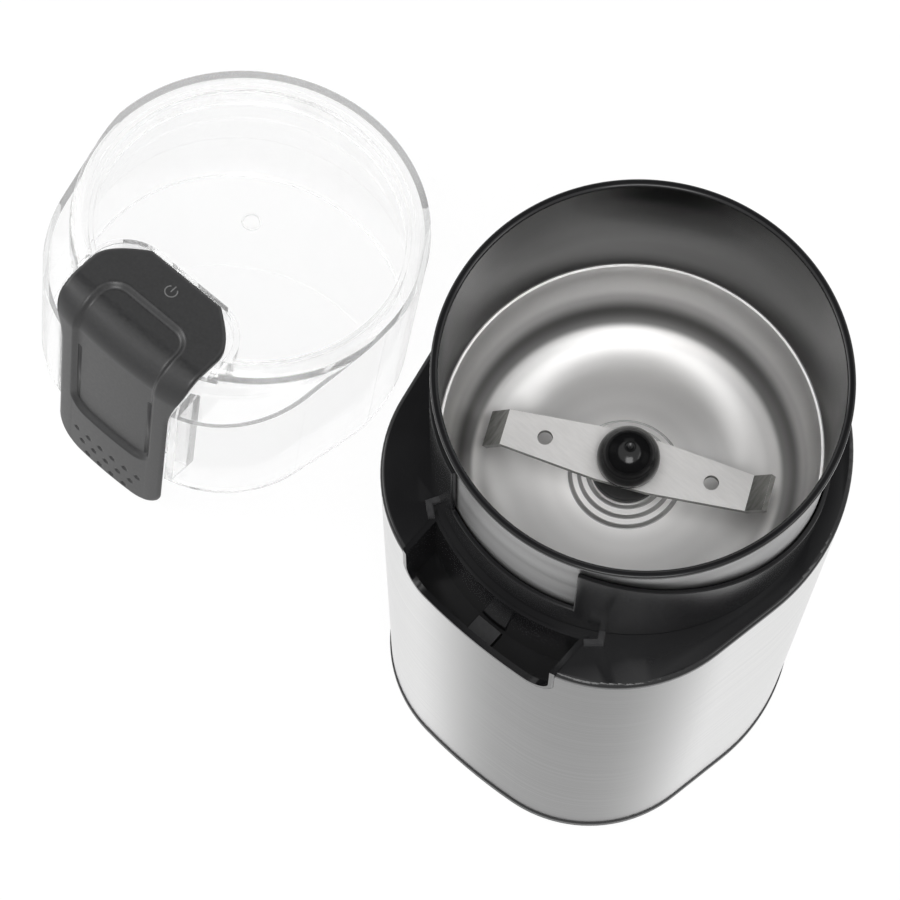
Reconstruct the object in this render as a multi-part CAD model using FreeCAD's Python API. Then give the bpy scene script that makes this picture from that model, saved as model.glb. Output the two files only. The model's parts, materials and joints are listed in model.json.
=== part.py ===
import FreeCAD, Part
import math
import os

# Electric spice grinder with a removable steel cup, a clear lid and a black press plate.
# Sizes are in millimetres and angles in degrees. Z is up, the cup's axis is the Z axis, the
# plate and its pocket are on the front (minus Y), and z = 0 is the floor under the feet.
# The lid stands on the floor beside the base, leaning on the tail of its press plate.

# Heights of the base, from the floor up
FOOT_DROP = 1.2
BASE_BAND = 1.8
DECK_TOP = 139.0
DECK_LIP = 2.0
DECK_PLATE = 3.0
DECK_SKIRT = 12.0
RIM_ABOVE_DECK = 41.5

# Plan outline of the body: a round back, two large front corners and a gently bowed front
LID_STEP = 2.75
CORNER_R = 34.5
CORNER_X = 10.9
FRONT_R = 144.0

# Thin walls and the gaps between neighbours
SHELL_WALL = 0.6
FIT_GAP = 0.1
LINER_WALL = 0.8
SKIRT_WALL = 1.5

# Steel cup
CUP_IN_R = 42.2
CUP_WALL = 0.5
RIM_BEAD_R = 0.75
RIM_R = 44.0
RING_BELOW_RIM = 42.5
RING_LEDGE = 0.5
CUP_DEPTH = 64.7
BOWL_STRAIGHT = 4.0
BOSS_R = 12.8
BOSS_STEPS = 3
BOSS_STEP_RISE = 1.2
BOSS_STEP_RUN = 1.9
BUSHING_R = 5.0

# Black foot of the cup and the well it stands in
COLLAR_GAP = 0.35
COLLAR_WALL = 1.1
WELL_WALL = 1.4
WELL_FLOOR = 2.5
CUP_BASE_BELOW_CUP = 10.3
CUP_BASE_RISE = 21.5
CUP_BASE_WALL = 1.2
CUP_BASE_PLATE = 1.7
CUP_BASE_GAP = 0.3
KEY_COUNT = 3
KEY_WIDTH = 4.0
KEY_HEIGHT = 3.6
KEY_LENGTH = 3.2
KEY_GAP = 0.3
WELL_HOLE_R = 9.5

# Collar round the cup: high tabs beside the front opening, sloping down to the back
COLLAR_AXIS_HEIGHT = 13.4
COLLAR_SLOPE = 0.548
COLLAR_OPENING_HALF = 22.5
COLLAR_OPENING_HEIGHT = 11.0

# Pocket in the front of the base, and the notch it leaves in the steel shell
POCKET_BACK_GAP = 0.6
POCKET_ROOM = 5.7
POCKET_HALF = 20.3
POCKET_DEPTH = 22.5
POCKET_FLOOR = 1.5
POCKET_LIP = 1.2
NOTCH_DEPTH = 15.5
NOTCH_CORNER_R = 6.0

# Raised arrows on the deck beside the pocket
ARROW_R = 46.4
ARROW_ANGLE = 30.0
ARROW_SIZE = 3.0
ARROW_RISE = 0.35

# Interlock plunger in the pocket floor, its spring, and the switch below it
PLUNGER_X_SIZE = 6.4
PLUNGER_MARGIN = 0.65
PLUNGER_GAP = 0.3
PLUNGER_PROUD = 1.5
FLANGE_X_RIM = 1.4
FLANGE_Y_RIM = 0.4
FLANGE_HEIGHT = 2.6
FLANGE_GAP = 0.4
STEM_R = 1.6
SPRING_LENGTH = 6.5
SPRING_WALL = 0.9
BRACKET_SHEET = 1.5
BRACKET_HALF = 11.2
SWITCH_SIZE_X = 19.8
SWITCH_SIZE_Y = 6.0
SWITCH_SIZE_Z = 12.0
SWITCH_GAP = 4.0
BUTTON_SIZE = 2.4
BUTTON_PROUD = 2.4
TOUCH_GAP = 0.05

# Blade set that turns in the cup
SHAFT_R = 3.0
BLADE_SHEET = 1.4
BLADE_BEND_R = 28.6
BLADE_HALF_AT_HUB = 6.3
BLADE_HALF_AT_BEND = 4.3
BLADE_TIP_LENGTH = 6.0
BLADE_TIP_BEND = 48.0
BLADE_HOLE_AT = 19.2
BLADE_HOLE_R = 1.7
BLADE_HEADING = 24.6
SEAL_R = 8.0
SEAL_HEIGHT = 2.0
SEAL_CLEARANCE = 0.25
SPACER_R = 5.5
SPACER_HEIGHT = 2.75
WASHER_R = 6.0
WASHER_HEIGHT = 0.8
HUB_CAP_R = 7.05
HUB_CAP_SIDE = 1.2
HUB_CAP_DOME = 7.0
HUB_DIMPLE_R = 1.0
RUN_GAP = 0.05

# Couplings between motor and blade set
COUPLING_R = 8.5
COUPLING_HEIGHT = 4.6
COUPLING_LIFT = 0.5
DOG_LENGTH = 11.0
DOG_WIDTH = 3.6
DOG_GAP = 0.25
DOG_DEPTH = 2.6
DRIVE_R = 8.0
DRIVE_HEIGHT = 6.0
DRIVE_GAP = 0.6

# Motor, hung between two bracket plates
MOTOR_SHAFT_R = 2.5
MOTOR_SHAFT_FOOT = 17.0
BRACKET_X = 58.0
BRACKET_Y = 48.0
BRACKET_PLATE = 2.5
UPPER_PLATE_BELOW_WELL = 7.5
LOWER_PLATE_Z = 20.0
POST_X = 22.0
POST_Y = 13.0
POST_R = 3.5
POST_SCREW_R = 1.4
SCREW_HEAD_R = 2.7
SCREW_HEAD = 1.0
BEARING_R = 7.5
BEARING_HEIGHT = 5.0
BOLT_X = 25.5
BOLT_Y = 20.5
BOLT_R = 1.8
STATOR_X = 60.0
STATOR_Y = 52.0
STATOR_FOOT = 46.0
STATOR_HEIGHT = 26.0
AIR_GAP = 0.6
ARMATURE_R = 15.0
COIL_IN = 16.4
COIL_DEPTH = 5.6
COIL_HALF = 12.5
COIL_OVERHANG = 7.5
COIL_GAP = 0.2
WINDING_R = 13.8
WINDING_HEIGHT = 5.8
COMMUTATOR_R = 7.5
COMMUTATOR_HEIGHT = 8.0
COMMUTATOR_GAP = 1.6
COMMUTATOR_BARS = 12
BAR_SLOT = 0.5
BRUSH_Y = 5.0
BRUSH_Z = 4.0
BRUSH_LENGTH = 9.5
HOLDER_WALL = 1.2
HOLDER_START = 9.4
HOLDER_LENGTH = 12.0
HOLDER_STEM = 4.0
FAN_R = 20.0
FAN_FOOT = 28.0
FAN_DISC = 1.2
FAN_VANE = 6.4
FAN_VANES = 8
FAN_HUB_R = 5.0
VANE_THICK = 1.0

# Bottom cover, feet and the cord's inlet
COVER_FLOOR = 2.0
COVER_WALL_RISE = 7.0
FOOT_R = 5.0
FOOT_SEAT = 0.4
FOOT_X = 30.0
FOOT_FRONT_Y = -30.0
FOOT_BACK_Y = 27.0
VENT_HALF = 13.0
VENT_WIDTH = 2.2
VENT_PITCH = 5.0
VENT_COUNT = 5
GLAND_Z = 15.0
GLAND_R = 5.0
GLAND_FLANGE_HALF = 7.0
GLAND_FLANGE_RISE = 6.8
GLAND_FLANGE_FOOT = 0.4
GLAND_FLANGE_CORNER = 2.0
GLAND_FLANGE = 1.6
GLAND_INSIDE = 5.0
GLAND_NOSE = 3.2
GLAND_BORE_R = 3.2

# Clear lid
LID_HEIGHT = 49.2
LID_GAP = 0.4
LID_WALL = 1.45
LID_CEILING = 2.0
LID_EDGE_R = 3.5
LID_PANEL_R = 42.1
LID_PANEL_SINK = 0.5
LID_RIB_R = 41.3
LID_RIB_WALL = 1.2
LID_RIB_ABOVE_RIM = 0.4
LID_SHOULDER_DROP = 14.0
LID_SHOULDER_SLOPE = 0.304
LID_GUIDE_WALL = 1.5
LID_X = -125.8
LID_Y = -1.8

# Press plate on the lid
PLATE_INSET = 2.2
PLATE_HALF = 18.0
PLATE_TOP_HALF = 21.3
PLATE_FLAP_REACH = 27.2
PLATE_FLAP_HALF = 11.5
PLATE_SHOULDER_REACH = 15.6
PLATE_FLARE_DROP = 19.2
PLATE_FLARE_RISE = 13.0
PLATE_STAND = 1.1
PLATE_FLAP = 2.0
PLATE_BEND_R = 10.0
PLATE_TAIL = 19.0
PLATE_TAIL_CORNER = 9.0
PLATE_TRAVEL = 3.0
PLATE_SIDE_GAP = 0.5
PLATE_REST_GAP = 0.5
PLATE_RIB_X = 12.0
PLATE_RIB_WALL = 1.6
PLATE_RIB_FOOT = 5.0
PLATE_RIB_TOP = 33.0
PLATE_RIB_GAP = 0.3
RETURN_SPRING_X = 9.5
RETURN_SPRING_REACH = 14.6
RETURN_SPRING_R = 2.6
RETURN_SPRING_WALL = 0.8
RECESS_FLOOR = 1.4
RECESS_WALL = 1.4
PANEL_HALF = 13.6
PANEL_FOOT = 3.2
PANEL_CORNER = 5.0
PANEL_SINK = 0.9
GRIP_R = 0.8
GRIP_DEPTH = 0.9
GRIP_COLUMNS = 6
GRIP_ROWS = 3
GRIP_PITCH = 4.3
GRIP_ROW_PITCH = 4.4
GRIP_TOP = -7.8

# Worked out from the values above
BASE_BOTTOM = FOOT_DROP
SHELL_BOTTOM = BASE_BOTTOM + BASE_BAND
SHELL_TOP = DECK_TOP - DECK_LIP
RIM_Z = DECK_TOP + RIM_ABOVE_DECK
CUP_OUT_R = CUP_IN_R + CUP_WALL
WELL_R = CUP_OUT_R + COLLAR_GAP
COLLAR_OUT_R = WELL_R + COLLAR_WALL
WELL_OUT_R = WELL_R + WELL_WALL
CUP_FLOOR_Z = RIM_Z - CUP_DEPTH
CUP_UNDER_Z = CUP_FLOOR_Z - CUP_WALL
WELL_FLOOR_Z = CUP_UNDER_Z - CUP_BASE_BELOW_CUP + CUP_WALL
LID_IN_R = COLLAR_OUT_R + LID_GAP
LID_R = LID_IN_R + LID_WALL
BACK_R = LID_R + LID_STEP
POCKET_BACK_R = LID_R + POCKET_BACK_GAP
POCKET_INSET = SHELL_WALL + FIT_GAP + LINER_WALL
FRONT_REACH = POCKET_BACK_R + POCKET_ROOM + POCKET_INSET
POCKET_FLOOR_Z = DECK_TOP - POCKET_DEPTH
PLUNGER_Y = -POCKET_BACK_R - POCKET_ROOM / 2
PLUNGER_Y_SIZE = POCKET_ROOM - 2 * PLUNGER_MARGIN
FLANGE_X_SIZE = PLUNGER_X_SIZE + 2 * FLANGE_X_RIM
FLANGE_Y_SIZE = PLUNGER_Y_SIZE + 2 * FLANGE_Y_RIM
BOSS_TOP_Z = CUP_FLOOR_Z + BOSS_STEPS * BOSS_STEP_RISE
SPACER_FOOT = BOSS_TOP_Z + SEAL_HEIGHT + SEAL_CLEARANCE
BLADE_UNDER_Z = SPACER_FOOT + SPACER_HEIGHT
BLADE_TOP_Z = BLADE_UNDER_Z + BLADE_SHEET
DRIVEN_BOTTOM_Z = WELL_FLOOR_Z + COUPLING_LIFT
UPPER_PLATE_TOP = WELL_FLOOR_Z - WELL_FLOOR - UPPER_PLATE_BELOW_WELL
STATOR_TOP = STATOR_FOOT + STATOR_HEIGHT
COMMUTATOR_FOOT = STATOR_TOP + WINDING_HEIGHT + COMMUTATOR_GAP
BRUSH_MID_Z = COMMUTATOR_FOOT + COMMUTATOR_HEIGHT / 2
PLUNGER_TRAVEL = PLUNGER_PROUD - FIT_GAP
FLAP_UNDER_Z = LID_HEIGHT + PLATE_STAND - PLATE_FLAP
RECESS_Z = FLAP_UNDER_Z - PLATE_TRAVEL - PLATE_REST_GAP
PLATE_FACE_Y = PLATE_INSET - FRONT_REACH
PLATE_FLAP_END = PLATE_FACE_Y + PLATE_FLAP_REACH
PLATE_FLAP_SHOULDER = PLATE_FACE_Y + PLATE_SHOULDER_REACH
PLATE_FLARE_Z = LID_HEIGHT - PLATE_FLARE_DROP
PLATE_FLARE_TOP = PLATE_FLARE_Z + PLATE_FLARE_RISE
RETURN_SPRING_Y = PLATE_FACE_Y + RETURN_SPRING_REACH
FAR = 200.0
CUT_ROOM = 5.0
TURN = 360.0


def vec(x, y, z=0.0):
    return FreeCAD.Vector(x, y, z)


def disc(radius, bottom, top, x=0.0, y=0.0):
    """A round plug standing on its end."""
    return Part.makeCylinder(radius, top - bottom, vec(x, y, bottom))


def tube(outer, inner, bottom, top, x=0.0, y=0.0):
    """A round pipe standing on its end."""
    return disc(outer, bottom, top, x, y).cut(disc(inner, bottom - 1, top + 1, x, y))


def block(x0, x1, y0, y1, z0, z1):
    """A box between two corners."""
    return Part.makeBox(x1 - x0, y1 - y0, z1 - z0, vec(x0, y0, z0))


def centred(size_x, size_y, z0, z1, x=0.0, y=0.0):
    """A box centred on x, y."""
    return block(x - size_x / 2, x + size_x / 2, y - size_y / 2, y + size_y / 2, z0, z1)


def prism(points, bottom, top):
    """An upright prism over plan points."""
    corners = [vec(x, y, bottom) for x, y in points]
    return Part.Face(Part.makePolygon(corners + corners[:1])).extrude(vec(0, 0, top - bottom))


def turned(profile):
    """A full turn about the Z axis of a closed outline of edges in the XZ plane."""
    return Part.Face(Part.Wire(profile)).revolve(vec(0, 0, 0), vec(0, 0, 1), TURN)


def at_radius(radius, degrees):
    angle = math.radians(degrees)
    return radius * math.cos(angle), radius * math.sin(angle)


def join(shapes):
    result = shapes[0]
    for shape in shapes[1:]:
        result = result.fuse(shape)
    return result.removeSplitter()


def outline_wire(inset, z):
    """The body's plan outline, drawn in by inset, as arcs and two straight sides."""
    back = BACK_R - inset
    corner = CORNER_R - inset
    front = FRONT_R - inset
    front_y = FRONT_R - FRONT_REACH
    corner_y = front_y - math.sqrt((FRONT_R - CORNER_R) ** 2 - CORNER_X ** 2)
    turn_in = math.atan2(corner_y - front_y, CORNER_X)
    reach = math.hypot(CORNER_X, corner_y)
    turn_out = math.atan2(corner_y, CORNER_X) + math.acos((BACK_R - CORNER_R) / reach)
    middle = (turn_in + turn_out) / 2

    def on_corner(angle, side):
        x = CORNER_X + corner * math.cos(angle)
        return vec(side * x, corner_y + corner * math.sin(angle), z)

    def on_back(side):
        return vec(side * back * math.cos(turn_out), back * math.sin(turn_out), z)

    nose = vec(0, front_y - front, z)
    tail = vec(0, back, z)
    return Part.Wire([
        Part.Arc(on_corner(turn_in, -1), nose, on_corner(turn_in, 1)).toShape(),
        Part.Arc(on_corner(turn_in, 1), on_corner(middle, 1), on_corner(turn_out, 1)).toShape(),
        Part.LineSegment(on_corner(turn_out, 1), on_back(1)).toShape(),
        Part.Arc(on_back(1), tail, on_back(-1)).toShape(),
        Part.LineSegment(on_back(-1), on_corner(turn_out, -1)).toShape(),
        Part.Arc(on_corner(turn_out, -1), on_corner(middle, -1), on_corner(turn_in, -1)).toShape(),
    ])


def body_prism(inset, bottom, top):
    """An upright solid with the body's outline."""
    return Part.Face(outline_wire(inset, bottom)).extrude(vec(0, 0, top - bottom))


def body_sleeve(outer_inset, wall, bottom, top):
    """An upright sleeve that follows the body's outline."""
    hollow = body_prism(outer_inset + wall, bottom - 1, top + 1)
    return body_prism(outer_inset, bottom, top).cut(hollow)


def front_shape(half, foot, top, corner, y_front, y_back):
    """A front-view shape with two rounded lower corners, pushed through from front to back."""
    diagonal = corner * (1 - math.sqrt(0.5))
    edges = [
        Part.LineSegment(vec(-half, y_front, top), vec(-half, y_front, foot + corner)).toShape(),
        Part.Arc(vec(-half, y_front, foot + corner), vec(-half + diagonal, y_front, foot + diagonal),
                 vec(-half + corner, y_front, foot)).toShape(),
        Part.LineSegment(vec(-half + corner, y_front, foot), vec(half - corner, y_front, foot)).toShape(),
        Part.Arc(vec(half - corner, y_front, foot), vec(half - diagonal, y_front, foot + diagonal),
                 vec(half, y_front, foot + corner)).toShape(),
        Part.LineSegment(vec(half, y_front, foot + corner), vec(half, y_front, top)).toShape(),
        Part.LineSegment(vec(half, y_front, top), vec(-half, y_front, top)).toShape(),
    ]
    return Part.Face(Part.Wire(edges)).extrude(vec(0, y_back - y_front, 0))


def notch_shape(grow):
    """The notch in the front of the shell, made larger all round by grow."""
    return front_shape(POCKET_HALF + grow, DECK_TOP - NOTCH_DEPTH - grow, DECK_TOP + 1,
                       NOTCH_CORNER_R + grow, -FRONT_REACH - CUT_ROOM, 0)


def under_slope(height_at_axis, slope, radius, bottom):
    """Everything under a plane that climbs towards the front."""
    front = height_at_axis + slope * radius
    back = height_at_axis - slope * radius
    side = [vec(-radius, -radius, bottom), vec(-radius, -radius, front), vec(-radius, radius, back),
            vec(-radius, radius, bottom)]
    return Part.Face(Part.makePolygon(side + side[:1])).extrude(vec(2 * radius, 0, 0))


# Base: the parts seen from outside

def steel_shell():
    sleeve = body_sleeve(0, SHELL_WALL, SHELL_BOTTOM, SHELL_TOP)
    slot = centred(2 * (GLAND_R + FIT_GAP), FAR, SHELL_BOTTOM - 1, GLAND_Z + GLAND_R + FIT_GAP, 0, FAR / 2)
    return sleeve.cut(notch_shape(POCKET_LIP)).cut(slot)


def arrow_mark(side):
    """A small raised arrow on the deck."""
    x, y = at_radius(ARROW_R, -90 + side * ARROW_ANGLE)
    half = ARROW_SIZE / 2
    points = [(side * half, 0), (0, half), (0, half / 3), (-side * half, half / 3),
              (-side * half, -half / 3), (0, -half / 3), (0, -half)]
    return prism([(x + a, y + b) for a, b in points], DECK_TOP - ARROW_RISE, DECK_TOP + ARROW_RISE)


def top_deck():
    lip = body_prism(0, SHELL_TOP, DECK_TOP)
    lip = lip.makeFillet(DECK_LIP / 2, [edge for edge in lip.Edges if at_height(edge, DECK_TOP)])
    inner = SHELL_WALL + FIT_GAP
    skirt = body_prism(inner, DECK_TOP - DECK_SKIRT, SHELL_TOP)
    hollow = body_prism(inner + SKIRT_WALL, DECK_TOP - DECK_SKIRT - 1, DECK_TOP - DECK_PLATE)
    pocket_half = POCKET_HALF + POCKET_LIP + FIT_GAP
    pocket = centred(2 * pocket_half, FAR, DECK_TOP - FAR, DECK_TOP + 1, 0, -FAR / 2)
    kept = disc(POCKET_BACK_R - LINER_WALL - FIT_GAP, DECK_TOP - FAR, DECK_TOP + 2)
    deck = lip.fuse(skirt.cut(hollow)).cut(pocket.cut(kept)).cut(disc(WELL_R, DECK_TOP - FAR, DECK_TOP + 2))
    return join([deck, arrow_mark(-1), arrow_mark(1)])


def at_height(edge, z):
    return abs(edge.BoundBox.ZMin - z) < 1e-6 and abs(edge.BoundBox.ZMax - z) < 1e-6


def cup_collar():
    ring = tube(COLLAR_OUT_R, WELL_R, DECK_TOP, RIM_Z)
    slope = under_slope(DECK_TOP + COLLAR_AXIS_HEIGHT, COLLAR_SLOPE, BACK_R, DECK_TOP - 1)
    left = at_radius(FAR, -90 - COLLAR_OPENING_HALF)
    right = at_radius(FAR, -90 + COLLAR_OPENING_HALF)
    opening = prism([(0, 0), left, right], DECK_TOP + COLLAR_OPENING_HEIGHT, RIM_Z + 1)
    return ring.common(slope).cut(opening)


def well_liner():
    floor_under = WELL_FLOOR_Z - WELL_FLOOR
    liner = tube(WELL_OUT_R, WELL_R, floor_under, DECK_TOP - DECK_PLATE)
    floor = tube(WELL_R, WELL_HOLE_R, floor_under, WELL_FLOOR_Z)
    keys = [key_block(KEY_WIDTH, KEY_HEIGHT, index) for index in range(KEY_COUNT)]
    holes = [disc(POST_SCREW_R, floor_under - 1, floor_under + WELL_FLOOR / 2, x, y) for x, y in posts()]
    return join([liner, floor] + keys).cut(Part.makeCompound(holes))


def key_block(width, height, index):
    """One of the ribs on the well's floor that stop the cup from turning."""
    box = block(WELL_R - KEY_LENGTH, WELL_R, -width / 2, width / 2, WELL_FLOOR_Z, WELL_FLOOR_Z + height)
    box.rotate(vec(0, 0, 0), vec(0, 0, 1), 90 + index * TURN / KEY_COUNT)
    return box


def pocket_liner():
    outer_half = POCKET_HALF + POCKET_LIP
    floor_under = POCKET_FLOOR_Z - POCKET_FLOOR
    strip = centred(2 * outer_half, FAR, floor_under, DECK_TOP, 0, -FAR / 2)
    body = body_prism(SHELL_WALL + FIT_GAP, floor_under, DECK_TOP).common(strip)
    lip = body_prism(0, floor_under, DECK_TOP).common(notch_shape(POCKET_LIP - FIT_GAP / 2))
    backing = disc(POCKET_BACK_R - LINER_WALL, floor_under - 1, DECK_TOP + 1)
    whole = body.fuse(lip).cut(backing)
    room = centred(2 * POCKET_HALF, FAR, POCKET_FLOOR_Z, DECK_TOP + 2, 0, -FAR / 2)
    room = room.common(body_prism(POCKET_INSET, POCKET_FLOOR_Z, DECK_TOP + 2))
    room = room.fuse(notch_shape(0)).cut(disc(POCKET_BACK_R, floor_under - 1, DECK_TOP + 3))
    hole = centred(PLUNGER_X_SIZE + 2 * PLUNGER_GAP, PLUNGER_Y_SIZE + 2 * PLUNGER_GAP,
                   floor_under - 1, POCKET_FLOOR_Z + 1, 0, PLUNGER_Y)
    return whole.cut(room).cut(hole)


def bottom_cover():
    band = body_prism(0, BASE_BOTTOM, SHELL_BOTTOM)
    top = SHELL_BOTTOM + COVER_WALL_RISE
    wall = body_sleeve(SHELL_WALL + FIT_GAP, SKIRT_WALL, SHELL_BOTTOM - 1, top)
    inside = body_prism(SHELL_WALL + FIT_GAP + SKIRT_WALL, BASE_BOTTOM + COVER_FLOOR, SHELL_BOTTOM + 1)
    floor_top = BASE_BOTTOM + COVER_FLOOR
    floor = body_prism(SHELL_WALL + FIT_GAP, BASE_BOTTOM, floor_top)
    cover = band.fuse(wall).cut(inside).fuse(floor)
    cuts = [disc(FOOT_R, BASE_BOTTOM - 1, BASE_BOTTOM + FOOT_SEAT, x, y) for x, y in feet()]
    cuts += [disc(SCREW_HEAD_R, BASE_BOTTOM - 1, BASE_BOTTOM + SCREW_HEAD, x, y) for x, y in posts()]
    cuts += [disc(POST_SCREW_R, BASE_BOTTOM - 1, floor_top + 1, x, y) for x, y in posts()]
    for index in range(VENT_COUNT):
        y = (index - (VENT_COUNT - 1) / 2) * VENT_PITCH
        cuts.append(centred(2 * VENT_HALF, VENT_WIDTH, BASE_BOTTOM - 1, floor_top + 1, 0, y))
    return cover.cut(Part.makeCompound(cuts)).removeSplitter()


def feet():
    return [(side * FOOT_X, y) for side in (-1, 1) for y in (FOOT_FRONT_Y, FOOT_BACK_Y)]


def posts():
    return [(side * POST_X, end * POST_Y) for side in (-1, 1) for end in (-1, 1)]


def foot(x, y):
    return disc(FOOT_R, 0, BASE_BOTTOM + FOOT_SEAT, x, y)


def cord_gland():
    """The rubber inlet for the mains lead: its square neck slides up a slot in the steel."""
    start = BACK_R - GLAND_INSIDE
    end = BACK_R + GLAND_NOSE
    tube_part = Part.makeCylinder(GLAND_R, end - start, vec(0, start, GLAND_Z), vec(0, 1, 0))
    neck = centred(2 * GLAND_R, FAR, SHELL_BOTTOM + FIT_GAP, GLAND_Z + GLAND_R, 0, FAR / 2)
    neck = neck.common(body_sleeve(0, SHELL_WALL, SHELL_BOTTOM, GLAND_Z + 2 * GLAND_R))
    flange = centred(2 * GLAND_FLANGE_HALF, 2 * GLAND_FLANGE, SHELL_BOTTOM + GLAND_FLANGE_FOOT,
                     GLAND_Z + GLAND_FLANGE_RISE, 0, BACK_R)
    rounded = [edge for edge in flange.Edges if abs(edge.tangentAt(edge.FirstParameter).y) > 0.5]
    flange = flange.makeFillet(GLAND_FLANGE_CORNER, rounded)
    flange = flange.cut(body_prism(0, BASE_BOTTOM, GLAND_Z + 2 * GLAND_R))
    bore = Part.makeCylinder(GLAND_BORE_R, end - start + 2, vec(0, start - 1, GLAND_Z), vec(0, 1, 0))
    return join([tube_part, neck, flange]).cut(bore)


# Switch group under the pocket

def interlock_plunger():
    head_top = POCKET_FLOOR_Z + PLUNGER_PROUD
    flange_top = POCKET_FLOOR_Z - POCKET_FLOOR - FLANGE_GAP
    flange_foot = flange_top - FLANGE_HEIGHT
    head = centred(PLUNGER_X_SIZE, PLUNGER_Y_SIZE, flange_foot, head_top, 0, PLUNGER_Y)
    flange = centred(FLANGE_X_SIZE, FLANGE_Y_SIZE, flange_foot, flange_top, 0, PLUNGER_Y)
    stem = disc(STEM_R, stem_foot(), flange_foot + 1, 0, PLUNGER_Y)
    return join([head, flange, stem])


def flange_foot_z():
    return POCKET_FLOOR_Z - POCKET_FLOOR - FLANGE_GAP - FLANGE_HEIGHT


def bracket_top():
    return flange_foot_z() - SPRING_LENGTH


def switch_top():
    return bracket_top() - BRACKET_SHEET - SWITCH_GAP


def stem_foot():
    return switch_top() + BUTTON_PROUD + TOUCH_GAP


def plunger_spring():
    return tube(STEM_R + PLUNGER_GAP + SPRING_WALL, STEM_R + PLUNGER_GAP, bracket_top(), flange_foot_z(),
                0, PLUNGER_Y)


def switch_bracket():
    top = bracket_top()
    foot_z = switch_top() - SWITCH_SIZE_Z
    front = PLUNGER_Y - SWITCH_SIZE_Y / 2
    plate = block(-BRACKET_HALF, BRACKET_HALF, front, -WELL_OUT_R * 0.9, top - BRACKET_SHEET, top)
    sheet = BRACKET_HALF - SWITCH_SIZE_X / 2
    back = PLUNGER_Y + SWITCH_SIZE_Y / 2
    arms = [block(-BRACKET_HALF, sheet - BRACKET_HALF, front, back, foot_z, top),
            block(BRACKET_HALF - sheet, BRACKET_HALF, front, back, foot_z, top)]
    hole = disc(STEM_R + PLUNGER_GAP, top - FAR / 4, top + 1, 0, PLUNGER_Y)
    return join([plate] + arms).cut(disc(WELL_OUT_R, foot_z - 1, top + 1)).cut(hole)


def micro_switch():
    top = switch_top()
    body = centred(SWITCH_SIZE_X, SWITCH_SIZE_Y, top - SWITCH_SIZE_Z, top, 0, PLUNGER_Y)
    well = BUTTON_SIZE + 2 * PLUNGER_GAP
    depth = 2 * PLUNGER_TRAVEL + BUTTON_PROUD
    return body.cut(centred(well, well, top - depth, top + 1, 0, PLUNGER_Y))


def switch_button():
    top = switch_top()
    return centred(BUTTON_SIZE, BUTTON_SIZE, top - PLUNGER_TRAVEL, top + BUTTON_PROUD, 0, PLUNGER_Y)


# Motor

def bracket_plate(bottom):
    plate = centred(BRACKET_X, BRACKET_Y, bottom, bottom + BRACKET_PLATE)
    holes = [disc(BOLT_R, bottom - 1, bottom + BRACKET_PLATE + 1, x, y) for x, y in bolts()]
    holes.append(disc(BEARING_R, bottom - 1, bottom + BRACKET_PLATE + 1))
    return plate.cut(Part.makeCompound(holes))


def bolts():
    return [(side * BOLT_X, end * BOLT_Y) for side in (-1, 1) for end in (-1, 1)]


def bracket_with_posts(plate_bottom, post_bottom, post_top, screw_top):
    pieces = [bracket_plate(plate_bottom)]
    pieces += [disc(POST_R, post_bottom, post_top, x, y) for x, y in posts()]
    low = min(plate_bottom, post_bottom)
    drilled = [disc(POST_SCREW_R, low - 1, screw_top, x, y) for x, y in posts()]
    return join(pieces).cut(Part.makeCompound(drilled))


def lower_bracket():
    foot_z = BASE_BOTTOM + COVER_FLOOR
    return bracket_with_posts(LOWER_PLATE_Z, foot_z, LOWER_PLATE_Z + 1, LOWER_PLATE_Z - 2)


def upper_bracket():
    top = WELL_FLOOR_Z - WELL_FLOOR
    bottom = UPPER_PLATE_TOP - BRACKET_PLATE
    return bracket_with_posts(bottom, UPPER_PLATE_TOP - 1, top, top + 1)


def screw_set(head_bottom, head_top, shank_top):
    """Four screws with flat round heads, one under each post."""
    pieces = []
    for x, y in posts():
        head = disc(SCREW_HEAD_R, head_bottom, head_top, x, y)
        pieces.append(head.fuse(disc(POST_SCREW_R, head_top, shank_top, x, y)).removeSplitter())
    return Part.makeCompound(pieces)


def cover_screws():
    return screw_set(BASE_BOTTOM + SCREW_HEAD / 4, BASE_BOTTOM + SCREW_HEAD, LOWER_PLATE_Z - 2)


def bracket_screws():
    head_top = UPPER_PLATE_TOP - BRACKET_PLATE
    return screw_set(head_top - SCREW_HEAD, head_top, WELL_FLOOR_Z - WELL_FLOOR / 2)


def stator_bolts():
    top = UPPER_PLATE_TOP
    pieces = []
    for x, y in bolts():
        shank = disc(BOLT_R, LOWER_PLATE_Z, top, x, y)
        head = disc(SCREW_HEAD_R, top, top + SCREW_HEAD, x, y)
        nut = disc(SCREW_HEAD_R, LOWER_PLATE_Z - SCREW_HEAD, LOWER_PLATE_Z, x, y)
        pieces.append(join([shank, head, nut]))
    return Part.makeCompound(pieces)


def stator_core():
    core = centred(STATOR_X, STATOR_Y, STATOR_FOOT, STATOR_TOP)
    cuts = [disc(ARMATURE_R + AIR_GAP, STATOR_FOOT - 1, STATOR_TOP + 1)]
    cuts += [disc(BOLT_R, STATOR_FOOT - 1, STATOR_TOP + 1, x, y) for x, y in bolts()]
    cuts += [coil_block(side, COIL_GAP) for side in (-1, 1)]
    return core.cut(Part.makeCompound(cuts))


def coil_block(side, grow):
    middle = side * (COIL_IN + COIL_DEPTH / 2)
    return centred(2 * (COIL_HALF + grow), COIL_DEPTH + 2 * grow, STATOR_FOOT - COIL_OVERHANG,
                   STATOR_TOP + COIL_OVERHANG, 0, middle)


def field_coil(side):
    coil = coil_block(side, 0)
    upright = [edge for edge in coil.Edges if edge.BoundBox.ZLength > STATOR_HEIGHT]
    return coil.makeFillet(COIL_DEPTH / 3, upright)


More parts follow.
